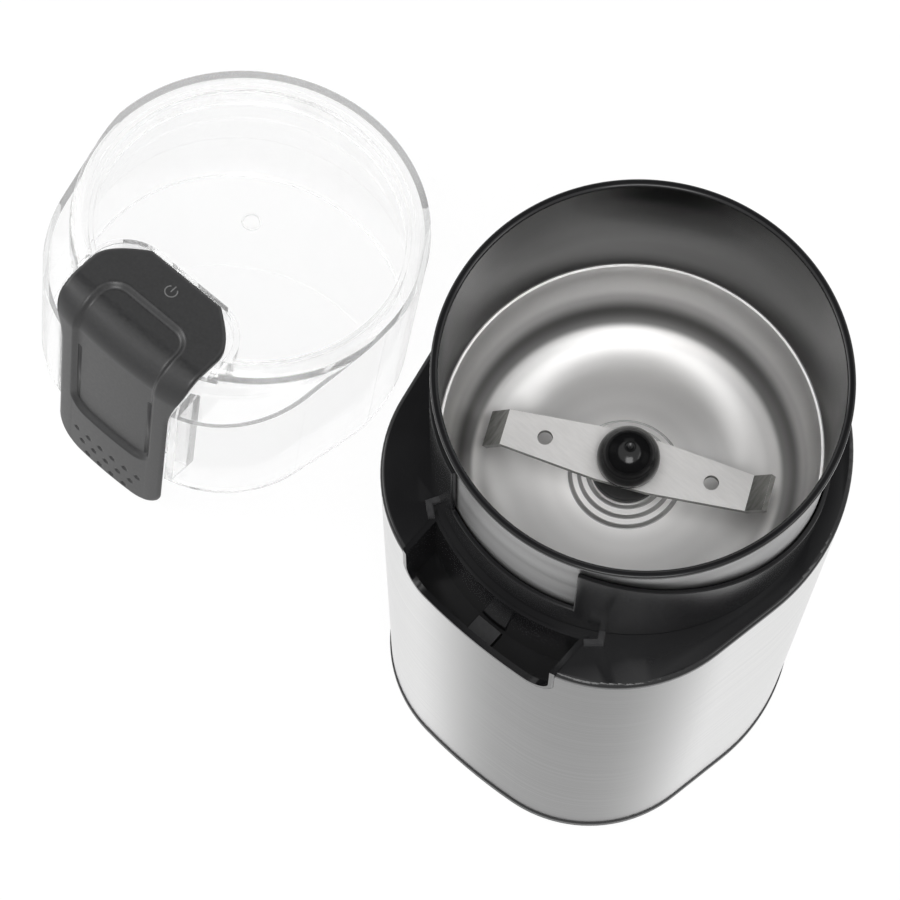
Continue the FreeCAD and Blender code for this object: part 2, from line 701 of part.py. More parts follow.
def brush_holder(side):
    half_y = BRUSH_Y / 2 + HOLDER_WALL
    half_z = BRUSH_Z / 2 + HOLDER_WALL
    end = HOLDER_START + HOLDER_LENGTH
    box = block(HOLDER_START, end, -half_y, half_y, BRUSH_MID_Z - half_z, BRUSH_MID_Z + half_z)
    stem = block(end - HOLDER_STEM, end, -half_y, half_y, BRUSH_MID_Z, UPPER_PLATE_TOP - BRACKET_PLATE)
    slot = block(HOLDER_START - 1, HOLDER_START + BRUSH_LENGTH, -BRUSH_Y / 2 - FIT_GAP,
                 BRUSH_Y / 2 + FIT_GAP, BRUSH_MID_Z - BRUSH_Z / 2 - FIT_GAP,
                 BRUSH_MID_Z + BRUSH_Z / 2 + FIT_GAP)
    return on_side(join([box, stem]).cut(slot), side)


def carbon_brush(side):
    start = COMMUTATOR_R + TOUCH_GAP
    brush = block(start, start + BRUSH_LENGTH, -BRUSH_Y / 2, BRUSH_Y / 2, BRUSH_MID_Z - BRUSH_Z / 2,
                  BRUSH_MID_Z + BRUSH_Z / 2)
    return on_side(brush, side)


def on_side(shape, side):
    """Turns a piece drawn on the right to its side of the shaft."""
    if side < 0:
        shape.rotate(vec(0, 0, 0), vec(0, 0, 1), 180)
    return shape


def bearing(plate_bottom):
    middle = plate_bottom + BRACKET_PLATE / 2
    bottom = middle - BEARING_HEIGHT / 2
    return tube(BEARING_R, MOTOR_SHAFT_R + TOUCH_GAP, bottom, bottom + BEARING_HEIGHT)


def motor_shaft():
    return disc(MOTOR_SHAFT_R, MOTOR_SHAFT_FOOT, drive_top() - 1)


def armature_core():
    core = tube(ARMATURE_R, MOTOR_SHAFT_R, STATOR_FOOT, STATOR_TOP)
    slots = []
    for index in range(COMMUTATOR_BARS):
        slot = block(ARMATURE_R - 2, ARMATURE_R + 1, -BAR_SLOT, BAR_SLOT, STATOR_FOOT - 1, STATOR_TOP + 1)
        slot.rotate(vec(0, 0, 0), vec(0, 0, 1), index * TURN / COMMUTATOR_BARS)
        slots.append(slot)
    return core.cut(Part.makeCompound(slots))


def winding(bottom, top, rounded_z):
    ring = tube(WINDING_R, MOTOR_SHAFT_R, bottom, top)
    edges = [edge for edge in ring.Edges if at_height(edge, rounded_z)]
    outer = [edge for edge in edges if edge.BoundBox.XMax > WINDING_R - 1]
    return ring.makeFillet(WINDING_HEIGHT / 3, outer)


def winding_upper():
    top = STATOR_TOP + WINDING_HEIGHT
    return winding(STATOR_TOP, top, top)


def winding_lower():
    bottom = STATOR_FOOT - WINDING_HEIGHT
    return winding(bottom, STATOR_FOOT, bottom)


def commutator():
    top = COMMUTATOR_FOOT + COMMUTATOR_HEIGHT
    drum = tube(COMMUTATOR_R, MOTOR_SHAFT_R, COMMUTATOR_FOOT, top)
    slots = []
    for index in range(COMMUTATOR_BARS):
        slot = block(COMMUTATOR_R - 1, COMMUTATOR_R + 1, -BAR_SLOT / 2, BAR_SLOT / 2, COMMUTATOR_FOOT - 1,
                     top + 1)
        slot.rotate(vec(0, 0, 0), vec(0, 0, 1), (index + 0.5) * TURN / COMMUTATOR_BARS)
        slots.append(slot)
    return drum.cut(Part.makeCompound(slots))


def cooling_fan():
    vane_top = FAN_FOOT + FAN_DISC + FAN_VANE
    pieces = [disc(FAN_R, FAN_FOOT, FAN_FOOT + FAN_DISC), disc(FAN_HUB_R, FAN_FOOT, vane_top)]
    for index in range(FAN_VANES):
        vane = block(FAN_HUB_R - 1, FAN_R, -VANE_THICK / 2, VANE_THICK / 2, FAN_FOOT, vane_top)
        vane.rotate(vec(0, 0, 0), vec(0, 0, 1), index * TURN / FAN_VANES)
        pieces.append(vane.common(disc(FAN_R, FAN_FOOT, vane_top)))
    return join(pieces).cut(disc(MOTOR_SHAFT_R, FAN_FOOT - 1, vane_top + 1))


def dog(grow, bottom, top):
    """The cross that carries the turn from motor to blade set."""
    long_side = DOG_LENGTH + 2 * grow
    short_side = DOG_WIDTH + 2 * grow
    return join([centred(long_side, short_side, bottom, top), centred(short_side, long_side, bottom, top)])


def drive_top():
    return WELL_FLOOR_Z - DRIVE_GAP


def drive_coupling():
    top = drive_top()
    body = disc(DRIVE_R, top - DRIVE_HEIGHT, top)
    cross = dog(0, top - 1, DRIVEN_BOTTOM_Z + DOG_DEPTH)
    return join([body, cross]).cut(disc(MOTOR_SHAFT_R, top - DRIVE_HEIGHT - 1, top - 1))


# Cup

def steel_cup():
    """Thin steel cup with a rolled rim, a ring ledge, a round bowl and a stepped boss."""
    ring_z = RIM_Z - RING_BELOW_RIM
    bowl_r = CUP_IN_R - RING_LEDGE
    bend = ring_z - BOWL_STRAIGHT - CUP_FLOOR_Z
    mid = bend * math.sqrt(0.5)
    bead_z = RIM_Z - RIM_BEAD_R
    points_in = [vec(CUP_IN_R, 0, bead_z), vec(CUP_IN_R, 0, ring_z), vec(bowl_r, 0, ring_z),
                 vec(bowl_r, 0, ring_z - BOWL_STRAIGHT)]
    turn_z = ring_z - BOWL_STRAIGHT
    centre_r = bowl_r - bend
    inner_arc = Part.Arc(vec(bowl_r, 0, turn_z), vec(centre_r + mid, 0, turn_z - mid),
                         vec(centre_r, 0, CUP_FLOOR_Z)).toShape()
    floor = [vec(centre_r, 0, CUP_FLOOR_Z)] + boss_points(CUP_FLOOR_Z)
    under = [vec(point.x, 0, point.z - CUP_WALL) for point in reversed(boss_points(CUP_FLOOR_Z))]
    under += [vec(centre_r, 0, CUP_UNDER_Z)]
    reach = bend + CUP_WALL
    mid_out = reach * math.sqrt(0.5)
    outer_arc = Part.Arc(vec(centre_r, 0, CUP_UNDER_Z), vec(centre_r + mid_out, 0, turn_z - mid_out),
                         vec(centre_r + reach, 0, turn_z)).toShape()
    points_out = [vec(centre_r + reach, 0, turn_z), vec(centre_r + reach, 0, ring_z - CUP_WALL),
                  vec(CUP_OUT_R, 0, ring_z - CUP_WALL), vec(CUP_OUT_R, 0, bead_z), points_in[0]]
    profile = lines(points_in) + [inner_arc] + lines(floor + under) + [outer_arc] + lines(points_out)
    rim = Part.makeTorus(RIM_R - RIM_BEAD_R, RIM_BEAD_R, vec(0, 0, bead_z))
    return turned(profile).fuse(rim).removeSplitter()


def boss_points(floor_z):
    """Steps of the boss, from its foot in to the bushing."""
    points = []
    for step in range(BOSS_STEPS):
        radius = BOSS_R - step * BOSS_STEP_RUN
        points.append(vec(radius, 0, floor_z + step * BOSS_STEP_RISE))
        points.append(vec(radius - BOSS_STEP_RUN / 4, 0, floor_z + (step + 1) * BOSS_STEP_RISE))
    points.append(vec(BUSHING_R, 0, floor_z + BOSS_STEPS * BOSS_STEP_RISE))
    return points


def lines(points):
    return [Part.LineSegment(a, b).toShape() for a, b in zip(points, points[1:])]


def cup_base():
    outer = CUP_OUT_R - CUP_BASE_GAP
    inner = outer - CUP_BASE_WALL
    wall = tube(outer, inner, WELL_FLOOR_Z, WELL_FLOOR_Z + CUP_BASE_RISE)
    plate = tube(inner + CUP_BASE_WALL / 2, BUSHING_R, CUP_UNDER_Z - CUP_BASE_PLATE, CUP_UNDER_Z)
    slots = [key_block(KEY_WIDTH + 2 * KEY_GAP, KEY_HEIGHT + KEY_GAP, index) for index in range(KEY_COUNT)]
    return join([wall, plate]).cut(Part.makeCompound(slots))


def shaft_bushing():
    """The bearing sleeve clamped through the cup's floor."""
    sleeve = disc(BUSHING_R, CUP_UNDER_Z - CUP_BASE_PLATE, BOSS_TOP_Z)
    flange = disc(BUSHING_R + 2, DRIVEN_BOTTOM_Z + COUPLING_HEIGHT + DRIVE_GAP, CUP_UNDER_Z - CUP_BASE_PLATE)
    return join([sleeve, flange]).cut(disc(SHAFT_R + RUN_GAP, DRIVEN_BOTTOM_Z, BOSS_TOP_Z + 1))


def shaft_seal():
    ring = tube(SEAL_R, SHAFT_R + SEAL_CLEARANCE, BOSS_TOP_Z, BOSS_TOP_Z + SEAL_HEIGHT)
    edges = [edge for edge in ring.Edges if at_height(edge, BOSS_TOP_Z + SEAL_HEIGHT)]
    return ring.makeFillet(SEAL_HEIGHT / 4, [edge for edge in edges if edge.BoundBox.XMax > SEAL_R - 1])


# Blade set

def blade_arm(side):
    """One flat arm with its bent cutting tip, drawn along X and level at the blade's top."""
    half_hub = BLADE_HALF_AT_HUB
    half_bend = BLADE_HALF_AT_BEND
    arm = prism([(0, -half_hub), (WASHER_R, -half_hub), (BLADE_BEND_R, -half_bend),
                 (BLADE_BEND_R, half_bend), (WASHER_R, half_hub), (0, half_hub)],
                BLADE_UNDER_Z, BLADE_TOP_Z)
    tip = block(BLADE_BEND_R, BLADE_BEND_R + BLADE_TIP_LENGTH, -half_bend, half_bend, BLADE_UNDER_Z,
                BLADE_TOP_Z)
    hinge_z = BLADE_UNDER_Z if side > 0 else BLADE_TOP_Z
    tip.rotate(vec(BLADE_BEND_R, 0, hinge_z), vec(0, 1, 0), -side * BLADE_TIP_BEND)
    knee = Part.makeCylinder(BLADE_SHEET, 2 * half_bend, vec(BLADE_BEND_R, -half_bend, hinge_z),
                             vec(0, 1, 0)).common(bend_wedge(side, hinge_z, half_bend))
    arm = join([arm, tip, knee]).cut(disc(BLADE_HOLE_R, BLADE_UNDER_Z - 1, BLADE_TOP_Z + 1, BLADE_HOLE_AT))
    heading = BLADE_HEADING if side > 0 else BLADE_HEADING + 180
    arm.rotate(vec(0, 0, 0), vec(0, 0, 1), heading)
    return arm


def bend_wedge(side, hinge_z, half_width):
    """The slice of a round knee that fills the outside of the bend."""
    lean = math.radians(BLADE_TIP_BEND)
    reach = 3 * BLADE_SHEET
    swung_x = BLADE_BEND_R - reach * math.sin(lean)
    swung_z = hinge_z + side * reach * math.cos(lean)
    points = [vec(BLADE_BEND_R, -half_width, hinge_z),
              vec(BLADE_BEND_R, -half_width, hinge_z + side * reach),
              vec(swung_x, -half_width, swung_z)]
    return Part.Face(Part.makePolygon(points + points[:1])).extrude(vec(0, 2 * half_width, 0))


def blade():
    whole = join([blade_arm(1), blade_arm(-1)])
    return whole.cut(disc(SHAFT_R, BLADE_UNDER_Z - 1, BLADE_TOP_Z + 1))


def blade_shaft():
    return disc(SHAFT_R, DRIVEN_BOTTOM_Z + DOG_DEPTH + DRIVE_GAP, BLADE_TOP_Z + WASHER_HEIGHT + HUB_CAP_SIDE)


def blade_spacer():
    return tube(SPACER_R, SHAFT_R, SPACER_FOOT, BLADE_UNDER_Z)


def hub_washer():
    return tube(WASHER_R, SHAFT_R, BLADE_TOP_Z, BLADE_TOP_Z + WASHER_HEIGHT)


def hub_cap():
    """The domed nut that holds the blade, with a dimple on top."""
    bottom = BLADE_TOP_Z + WASHER_HEIGHT
    side_top = bottom + HUB_CAP_SIDE
    top = side_top + HUB_CAP_DOME
    ball_r = (HUB_CAP_R ** 2 + HUB_CAP_DOME ** 2) / (2 * HUB_CAP_DOME)
    ball = Part.makeSphere(ball_r, vec(0, 0, top - ball_r))
    dome = ball.common(disc(HUB_CAP_R, side_top, top))
    dome = dome.cut(disc(HUB_DIMPLE_R, top - HUB_DIMPLE_R / 2, top + 1))
    whole = join([disc(HUB_CAP_R, bottom, side_top), dome])
    return whole.cut(disc(SHAFT_R, bottom - 1, side_top))


def driven_coupling():
    top = DRIVEN_BOTTOM_Z + COUPLING_HEIGHT
    body = disc(COUPLING_R, DRIVEN_BOTTOM_Z, top)
    socket = dog(DOG_GAP, DRIVEN_BOTTOM_Z - 1, DRIVEN_BOTTOM_Z + DOG_DEPTH + DOG_GAP)
    return body.cut(socket).cut(disc(SHAFT_R, DRIVEN_BOTTOM_Z + DOG_DEPTH + DRIVE_GAP, top + 1))


# Lid and press plate, drawn as if seated with the skirt's lower edge at z = 0

def flap_outline(grow, bottom, top):
    """Plan shape of the plate's top flap: a rounded inner end that widens to the front."""
    end = PLATE_FLAP_END + grow
    half = PLATE_FLAP_HALF + grow / 2
    wide = PLATE_TOP_HALF + grow
    shoulder = PLATE_FLAP_SHOULDER
    bulge_x = half + (wide - half) * math.sqrt(0.5)
    bulge_y = shoulder + (end - shoulder) * math.sqrt(0.5)
    front = -FRONT_REACH - CUT_ROOM
    edges = lines([vec(-wide, shoulder, bottom), vec(-wide, front, bottom), vec(wide, front, bottom),
                   vec(wide, shoulder, bottom)])
    edges.append(Part.Arc(vec(wide, shoulder, bottom), vec(bulge_x, bulge_y, bottom),
                          vec(half, end, bottom)).toShape())
    edges += lines([vec(half, end, bottom), vec(-half, end, bottom)])
    edges.append(Part.Arc(vec(-half, end, bottom), vec(-bulge_x, bulge_y, bottom),
                          vec(-wide, shoulder, bottom)).toShape())
    return Part.Face(Part.Wire(edges)).extrude(vec(0, 0, top - bottom))


def bend_room():
    """The space in front of the lid's wall that the plate's bend takes when it is pressed."""
    half = PLATE_TOP_HALF + PLATE_SIDE_GAP
    middle_y = PLATE_FACE_Y + PLATE_BEND_R
    middle_z = LID_HEIGHT + PLATE_STAND - PLATE_BEND_R - PLATE_TRAVEL
    corner = block(-half, half, middle_y - FAR, middle_y, middle_z, LID_HEIGHT + 2)
    kept_r = PLATE_BEND_R - PLATE_FLAP - PLATE_REST_GAP
    return corner.cut(Part.makeCylinder(kept_r, 2 * half, vec(-half, middle_y, middle_z), vec(1, 0, 0)))


def lid_shell():
    """Clear round cover whose skirt takes the body's outline, with a channel for the plate."""
    cap = disc(LID_R, 0, LID_HEIGHT)
    cap = cap.makeFillet(LID_EDGE_R, [edge for edge in cap.Edges if at_height(edge, LID_HEIGHT)])
    axis_drop = LID_HEIGHT - LID_SHOULDER_DROP + LID_SHOULDER_SLOPE * LID_R
    skirt = body_prism(LID_STEP, 0, LID_HEIGHT).common(under_slope(axis_drop, -LID_SHOULDER_SLOPE, FAR, -1))
    room = body_prism(LID_STEP + LID_WALL, -1, LID_HEIGHT - LID_EDGE_R)
    room = room.common(under_slope(axis_drop - LID_WALL, -LID_SHOULDER_SLOPE, FAR, -2))
    dome_room = disc(LID_IN_R, -1, LID_HEIGHT - LID_CEILING)
    shell = cap.fuse(skirt).cut(room.fuse(dome_room))
    half = PLATE_HALF + PLATE_SIDE_GAP
    behind = centred(2 * (half + LID_GUIDE_WALL), FAR, 0, LID_HEIGHT - LID_CEILING / 2, 0, -FAR / 2)
    inner_wall = tube(LID_R, LID_IN_R, 0, LID_HEIGHT - LID_CEILING / 2).common(behind)
    outside = behind.common(body_prism(LID_STEP, 0, LID_HEIGHT)).cut(disc(LID_R - LID_WALL / 2, -1, FAR))
    guides = outside.cut(centred(2 * half, FAR, -1, FAR, 0, -FAR / 2))
    guides = guides.common(under_slope(axis_drop, -LID_SHOULDER_SLOPE, FAR, -1))
    shell = shell.fuse(inner_wall).fuse(guides)
    well = flap_outline(PLATE_SIDE_GAP + RECESS_WALL, RECESS_Z - RECESS_FLOOR, LID_HEIGHT - LID_CEILING / 2)
    shell = shell.fuse(well.common(disc(LID_IN_R + LID_WALL / 2, 0, LID_HEIGHT)))
    channel = centred(2 * half, FAR, -1, LID_HEIGHT + 1, 0, -FAR / 2).cut(disc(LID_R, -2, LID_HEIGHT + 2))
    shell = shell.cut(channel).cut(flap_outline(PLATE_SIDE_GAP, RECESS_Z, LID_HEIGHT + 2)).cut(bend_room())
    rib_foot = RIM_ABOVE_DECK + LID_RIB_ABOVE_RIM
    rib = tube(LID_RIB_R, LID_RIB_R - LID_RIB_WALL, rib_foot, LID_HEIGHT - LID_CEILING / 2)
    rib = rib.cut(flap_outline(PLATE_SIDE_GAP + RECESS_WALL / 2, -1, LID_HEIGHT))
    panel = disc(LID_PANEL_R, LID_HEIGHT - LID_PANEL_SINK, LID_HEIGHT + 1)
    return shell.cut(panel).fuse(rib).removeSplitter()


def plate_band(depth):
    """Side profile of the plate: flat flap, round bend and straight front, depth thick."""
    top = LID_HEIGHT + PLATE_STAND
    front = PLATE_FACE_Y
    foot_z = -PLATE_TAIL
    bend = PLATE_BEND_R
    near = bend - depth
    root = math.sqrt(0.5)
    centre_y = front + bend
    centre_z = top - bend
    outer_bend = Part.Arc(vec(0, centre_y, top), vec(0, centre_y - bend * root, centre_z + bend * root),
                          vec(0, front, centre_z)).toShape()
    inner_bend = Part.Arc(vec(0, front + depth, centre_z),
                          vec(0, centre_y - near * root, centre_z + near * root),
                          vec(0, centre_y, top - depth)).toShape()
    edges = lines([vec(0, PLATE_FLAP_END, top), vec(0, centre_y, top)]) + [outer_bend]
    edges += lines([vec(0, front, centre_z), vec(0, front, foot_z), vec(0, front + depth, foot_z),
                    vec(0, front + depth, centre_z)]) + [inner_bend]
    edges += lines([vec(0, centre_y, top - depth), vec(0, PLATE_FLAP_END, top - depth),
                    vec(0, PLATE_FLAP_END, top)])
    return edges


def swept_band(depth, half):
    band = Part.Face(Part.Wire(plate_band(depth))).extrude(vec(2 * half, 0, 0))
    band.translate(vec(-half, 0, 0))
    return band


def plate_front_shape():
    """Front view of the plate: round lower corners and a head that flares out."""
    y = -FRONT_REACH - CUT_ROOM
    stem = front_shape(PLATE_HALF, -PLATE_TAIL, LID_HEIGHT + CUT_ROOM, PLATE_TAIL_CORNER, y, 0)
    points = [(-PLATE_HALF, PLATE_FLARE_Z), (PLATE_HALF, PLATE_FLARE_Z), (PLATE_TOP_HALF, PLATE_FLARE_TOP),
              (PLATE_TOP_HALF, LID_HEIGHT + CUT_ROOM), (-PLATE_TOP_HALF, LID_HEIGHT + CUT_ROOM),
              (-PLATE_TOP_HALF, PLATE_FLARE_TOP)]
    corners = [vec(x, y, z) for x, z in points]
    head = Part.Face(Part.makePolygon(corners + corners[:1])).extrude(vec(0, -y, 0))
    return stem.fuse(head)


def press_plate():
    band = swept_band(PLATE_FLAP, PLATE_TOP_HALF)
    plate = band.common(plate_front_shape()).common(flap_outline(0, -FAR / 2, FAR / 2))
    plate = plate.common(body_prism(PLATE_INSET, -FAR / 4, FAR / 4))
    panel = front_shape(PANEL_HALF, PANEL_FOOT, LID_HEIGHT + CUT_ROOM, PANEL_CORNER, -FRONT_REACH - CUT_ROOM,
                        PLATE_FLAP_SHOULDER)
    plate = plate.cut(swept_band(PANEL_SINK, PANEL_HALF).common(panel))
    return join([plate.cut(Part.makeCompound(grip_holes())), plate_rib(-1), plate_rib(1)])


def plate_rib(side):
    """A rib behind the plate that slides down the lid's wall."""
    x = side * PLATE_RIB_X
    back = PLATE_FACE_Y + PLATE_FLAP
    rib = block(x - PLATE_RIB_WALL / 2, x + PLATE_RIB_WALL / 2, back - PLATE_FLAP / 2, 0, PLATE_RIB_FOOT,
                PLATE_RIB_TOP)
    return rib.cut(disc(LID_R + PLATE_RIB_GAP, 0, LID_HEIGHT))


def return_spring(side):
    """The sleeve that stands for a coil spring between the recess floor and the flap."""
    inner = RETURN_SPRING_R - RETURN_SPRING_WALL
    return tube(RETURN_SPRING_R, inner, RECESS_Z, FLAP_UNDER_Z, side * RETURN_SPRING_X, RETURN_SPRING_Y)


def grip_holes():
    """Rows of small dimples at the foot of the plate, each row one shorter than the row above."""
    holes = []
    for row in range(GRIP_ROWS):
        count = GRIP_COLUMNS - row
        for column in range(count):
            x = (column - (count - 1) / 2) * GRIP_PITCH
            z = GRIP_TOP - row * GRIP_ROW_PITCH
            start = vec(x, PLATE_FACE_Y - 1, z)
            holes.append(Part.makeCylinder(GRIP_R, GRIP_DEPTH + 1, start, vec(0, 1, 0)))
    return holes


def lid_lean():
    """Tilt at which both the skirt's back edge and the plate's tail touch the floor."""
    tail_y = PLATE_FACE_Y + PLATE_FLAP
    return math.degrees(math.atan2(PLATE_TAIL, LID_R - tail_y))


def stood_on_floor(shape):
    """Moves a lid piece from its seat on the cup's axis to where it stands beside the base."""
    lean = lid_lean()
    shape.rotate(vec(0, 0, 0), vec(1, 0, 0), -lean)
    shape.translate(vec(LID_X, LID_Y, LID_R * math.sin(math.radians(lean))))
    return shape


def build():
    pieces = {
        "steel_shell": steel_shell(),
        "top_deck": top_deck(),
        "cup_collar": cup_collar(),
        "well_liner": well_liner(),
        "pocket_liner": pocket_liner(),
        "bottom_cover": bottom_cover(),
        "cover_screws": cover_screws(),
        "cord_gland": cord_gland(),
        "interlock_plunger": interlock_plunger(),
        "plunger_spring": plunger_spring(),
        "switch_bracket": switch_bracket(),
        "micro_switch": micro_switch(),
        "switch_button": switch_button(),
        "lower_bracket": lower_bracket(),
        "upper_bracket": upper_bracket(),
        "bracket_screws": bracket_screws(),
        "stator_bolts": stator_bolts(),
        "stator_core": stator_core(),
        "field_coil_front": field_coil(-1),
        "field_coil_back": field_coil(1),
        "brush_holder_left": brush_holder(-1),
        "brush_holder_right": brush_holder(1),
        "carbon_brush_left": carbon_brush(-1),
        "carbon_brush_right": carbon_brush(1),
        "lower_bearing": bearing(LOWER_PLATE_Z),
        "upper_bearing": bearing(UPPER_PLATE_TOP - BRACKET_PLATE),
        "motor_shaft": motor_shaft(),
        "armature_core": armature_core(),
        "armature_winding_upper": winding_upper(),
        "armature_winding_lower": winding_lower(),
        "commutator": commutator(),
        "cooling_fan": cooling_fan(),
        "drive_coupling": drive_coupling(),
        "steel_cup": steel_cup(),
        "cup_base": cup_base(),
        "shaft_bushing": shaft_bushing(),
        "shaft_seal": shaft_seal(),
        "blade": blade(),
        "blade_shaft": blade_shaft(),
        "blade_spacer": blade_spacer(),
        "hub_washer": hub_washer(),
        "hub_cap": hub_cap(),
        "driven_coupling": driven_coupling(),
        "lid_shell": stood_on_floor(lid_shell()),
        "press_plate": stood_on_floor(press_plate()),
        "return_spring_left": stood_on_floor(return_spring(-1)),
        "return_spring_right": stood_on_floor(return_spring(1)),
    }
    for index, (x, y) in enumerate(feet(), start=1):
        pieces[f"foot_{index}"] = foot(x, y)
    return pieces


os.makedirs("parts", exist_ok=True)
for name, shape in build().items():
    shape.exportStep(f"parts/{name}.step")
    solids = len(shape.Solids)
    print(f"{name}: {solids} solid(s), {shape.Volume:.1f} cubic mm, valid {shape.isValid()}")
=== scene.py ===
# %% [markdown]
# # A spice grinder with its lid off
# The solids of the grinder come in ready made, each in its right place and in metres.
# This lesson dresses them: it sets the camera and the studio, mixes the finishes, and
# models again the few pieces whose soft shapes catch most of the light.

# %% Load the solids
import bpy
import bmesh
import json
import math
import numpy as np
from mathutils import Matrix, Vector, geometry


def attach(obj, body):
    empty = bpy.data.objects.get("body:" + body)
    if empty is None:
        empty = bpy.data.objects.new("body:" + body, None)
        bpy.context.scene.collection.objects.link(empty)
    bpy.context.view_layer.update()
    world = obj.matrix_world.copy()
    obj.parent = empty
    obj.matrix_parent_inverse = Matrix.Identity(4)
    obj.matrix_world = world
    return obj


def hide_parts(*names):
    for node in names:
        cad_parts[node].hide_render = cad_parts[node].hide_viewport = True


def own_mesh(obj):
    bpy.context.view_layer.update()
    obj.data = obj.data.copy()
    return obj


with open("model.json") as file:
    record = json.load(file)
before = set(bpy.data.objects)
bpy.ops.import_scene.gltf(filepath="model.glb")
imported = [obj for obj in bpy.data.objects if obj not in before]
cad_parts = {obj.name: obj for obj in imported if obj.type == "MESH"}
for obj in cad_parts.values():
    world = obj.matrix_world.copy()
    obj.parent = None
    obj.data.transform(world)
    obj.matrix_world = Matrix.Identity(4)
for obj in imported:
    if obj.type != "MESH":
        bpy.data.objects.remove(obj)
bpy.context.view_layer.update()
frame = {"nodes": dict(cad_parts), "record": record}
solids = frame["nodes"]
MM = 0.001

# %% [markdown]
# The camera looks down on the grinder from its front right, through a long lens, the way
# product pictures are taken. Its place is given from the cup's axis, which is the Z axis.

# %% Camera
LENS_MM, LOOKS_DOWN, TURNED = 120.04, 70.8, 40.77


def put_in_scene(name, data):
    """A new object that shows the given data."""
    thing = bpy.data.objects.new(name, data)
    bpy.context.scene.collection.objects.link(thing)
    return thing


camera_data = bpy.data.cameras.new("camera")
camera = put_in_scene("camera", camera_data)
camera_data.lens = LENS_MM
camera_data.sensor_width = 36.0
camera_data.clip_start = 0.05
camera_data.clip_end = 20.0
camera.location = (0.1124, -0.1912, 0.7592)
camera.rotation_euler = (math.radians(90 - LOOKS_DOWN), 0.0, math.radians(TURNED))
bpy.context.scene.camera = camera
bpy.context.scene.view_settings.view_transform = "Standard"
print("camera looks down at", LOOKS_DOWN, "degrees through a lens of", LENS_MM, "mm")

# %% [markdown]
# Materials and the studio's air are built from the same few nodes. These helpers add one
# each: a sum, a smooth step from one value to another, a blend of two shaders, and a mask
# that tells what the eye sees, straight, mirrored or through glass, from what only gives
# light.

# %% Helpers for nodes


def feed(tree, socket, value):
    """Sets a socket to a number, or links it to another socket."""
    if isinstance(value, (int, float)):
        socket.default_value = value
    else:
        tree.links.new(value, socket)


def arithmetic(tree, operation, *values):
    """A sum on numbers or sockets; returns the socket of its result."""
    node = tree.nodes.new("ShaderNodeMath")
    node.operation = operation
    for socket, value in zip(node.inputs, values):
        feed(tree, socket, value)
    return node.outputs[0]


def step_between(tree, value, low, high, value_low, value_high):
    """A smooth step of a value from one level to another; returns its socket."""
    step = tree.nodes.new("ShaderNodeMapRange")
    step.interpolation_type = "SMOOTHSTEP"
    for title, level in (("Value", value), ("From Min", low), ("From Max", high),
                         ("To Min", value_low), ("To Max", value_high)):
        feed(tree, step.inputs[title], level)
    return step.outputs["Result"]


def mixed(tree, share, first, second):
    """A blend of two shaders; share is the part that the second has."""
    mix = tree.nodes.new("ShaderNodeMixShader")
    feed(tree, mix.inputs["Fac"], share)
    tree.links.new(first.outputs[0], mix.inputs[1])
    tree.links.new(second.outputs[0], mix.inputs[2])
    return mix.outputs[0]


def seen_by_eye(tree):
    """1 for rays from the camera, off gloss and through glass, and 0 for the others."""
    path = tree.nodes.new("ShaderNodeLightPath").outputs
    mirrored = arithmetic(tree, "MAXIMUM", path["Is Camera Ray"], path["Is Glossy Ray"])
    return arithmetic(tree, "MAXIMUM", mirrored, path["Is Transmission Ray"])


print("five helpers for nodes")

# %% [markdown]
# White air stands round the object up to a little above the horizon. Overhead the studio is
# a pale ceiling with one dark flag in it, hung where a level glossy surface would mirror it:
# this is how photographers keep black plastic black while satin steel stays bright. What is
# seen through glass never gets darker than a middle grey, so the lid stays clear.

# %% World
FLAG_DIRECTION, FLAG_EDGE = (-0.215, 0.36, 0.907), (0.93, 0.985)
CEILING_LIGHT, FLAG_LIGHT, ROOM_STRENGTH = 1.35, 0.14, 0.75
HORIZON_FADE, LEAST_THROUGH_GLASS = (0.12, 0.4), 0.6

world = bpy.data.worlds.new("studio_air")
bpy.context.scene.world = world
world.use_nodes = True
air = world.node_tree
air.nodes.clear()

direction = air.nodes.new("ShaderNodeTexCoord")
height = air.nodes.new("ShaderNodeSeparateXYZ")
towards_flag = air.nodes.new("ShaderNodeVectorMath")
towards_flag.operation = "DOT_PRODUCT"
towards_flag.inputs[1].default_value = FLAG_DIRECTION
air.links.new(direction.outputs["Generated"], height.inputs[0])
air.links.new(direction.outputs["Generated"], towards_flag.inputs[0])
ceiling = step_between(air, towards_flag.outputs["Value"], *FLAG_EDGE, CEILING_LIGHT, FLAG_LIGHT)
above = step_between(air, height.outputs["Z"], *HORIZON_FADE, 0.0, 1.0)
blend = air.nodes.new("ShaderNodeMix")
blend.data_type = "FLOAT"
blend.inputs[2].default_value = 1.0
air.links.new(above, blend.inputs[0])
air.links.new(ceiling, blend.inputs[3])

path = air.nodes.new("ShaderNodeLightPath")
through_glass = arithmetic(air, "MULTIPLY", path.outputs["Is Transmission Ray"],
                           LEAST_THROUGH_GLASS)
lightened = arithmetic(air, "MAXIMUM", blend.outputs[0], through_glass)
room = air.nodes.new("ShaderNodeBackground")
room.inputs["Strength"].default_value = ROOM_STRENGTH
backdrop = air.nodes.new("ShaderNodeBackground")
air.links.new(blend.outputs[0], room.inputs["Color"])
air.links.new(lightened, backdrop.inputs["Color"])
out = air.nodes.new("ShaderNodeOutputWorld")
air.links.new(mixed(air, seen_by_eye(air), room, backdrop), out.inputs["Surface"])
print("studio air: white to just above the horizon, pale ceiling, one dark flag")

# %% [markdown]
# Large soft lamps stand on three sides, at places that no level surface mirrors towards the
# camera. They model the round shapes and put small glints on the edges.

# %% Lamps
LAMP_TARGET = (0, 0, 0.1)


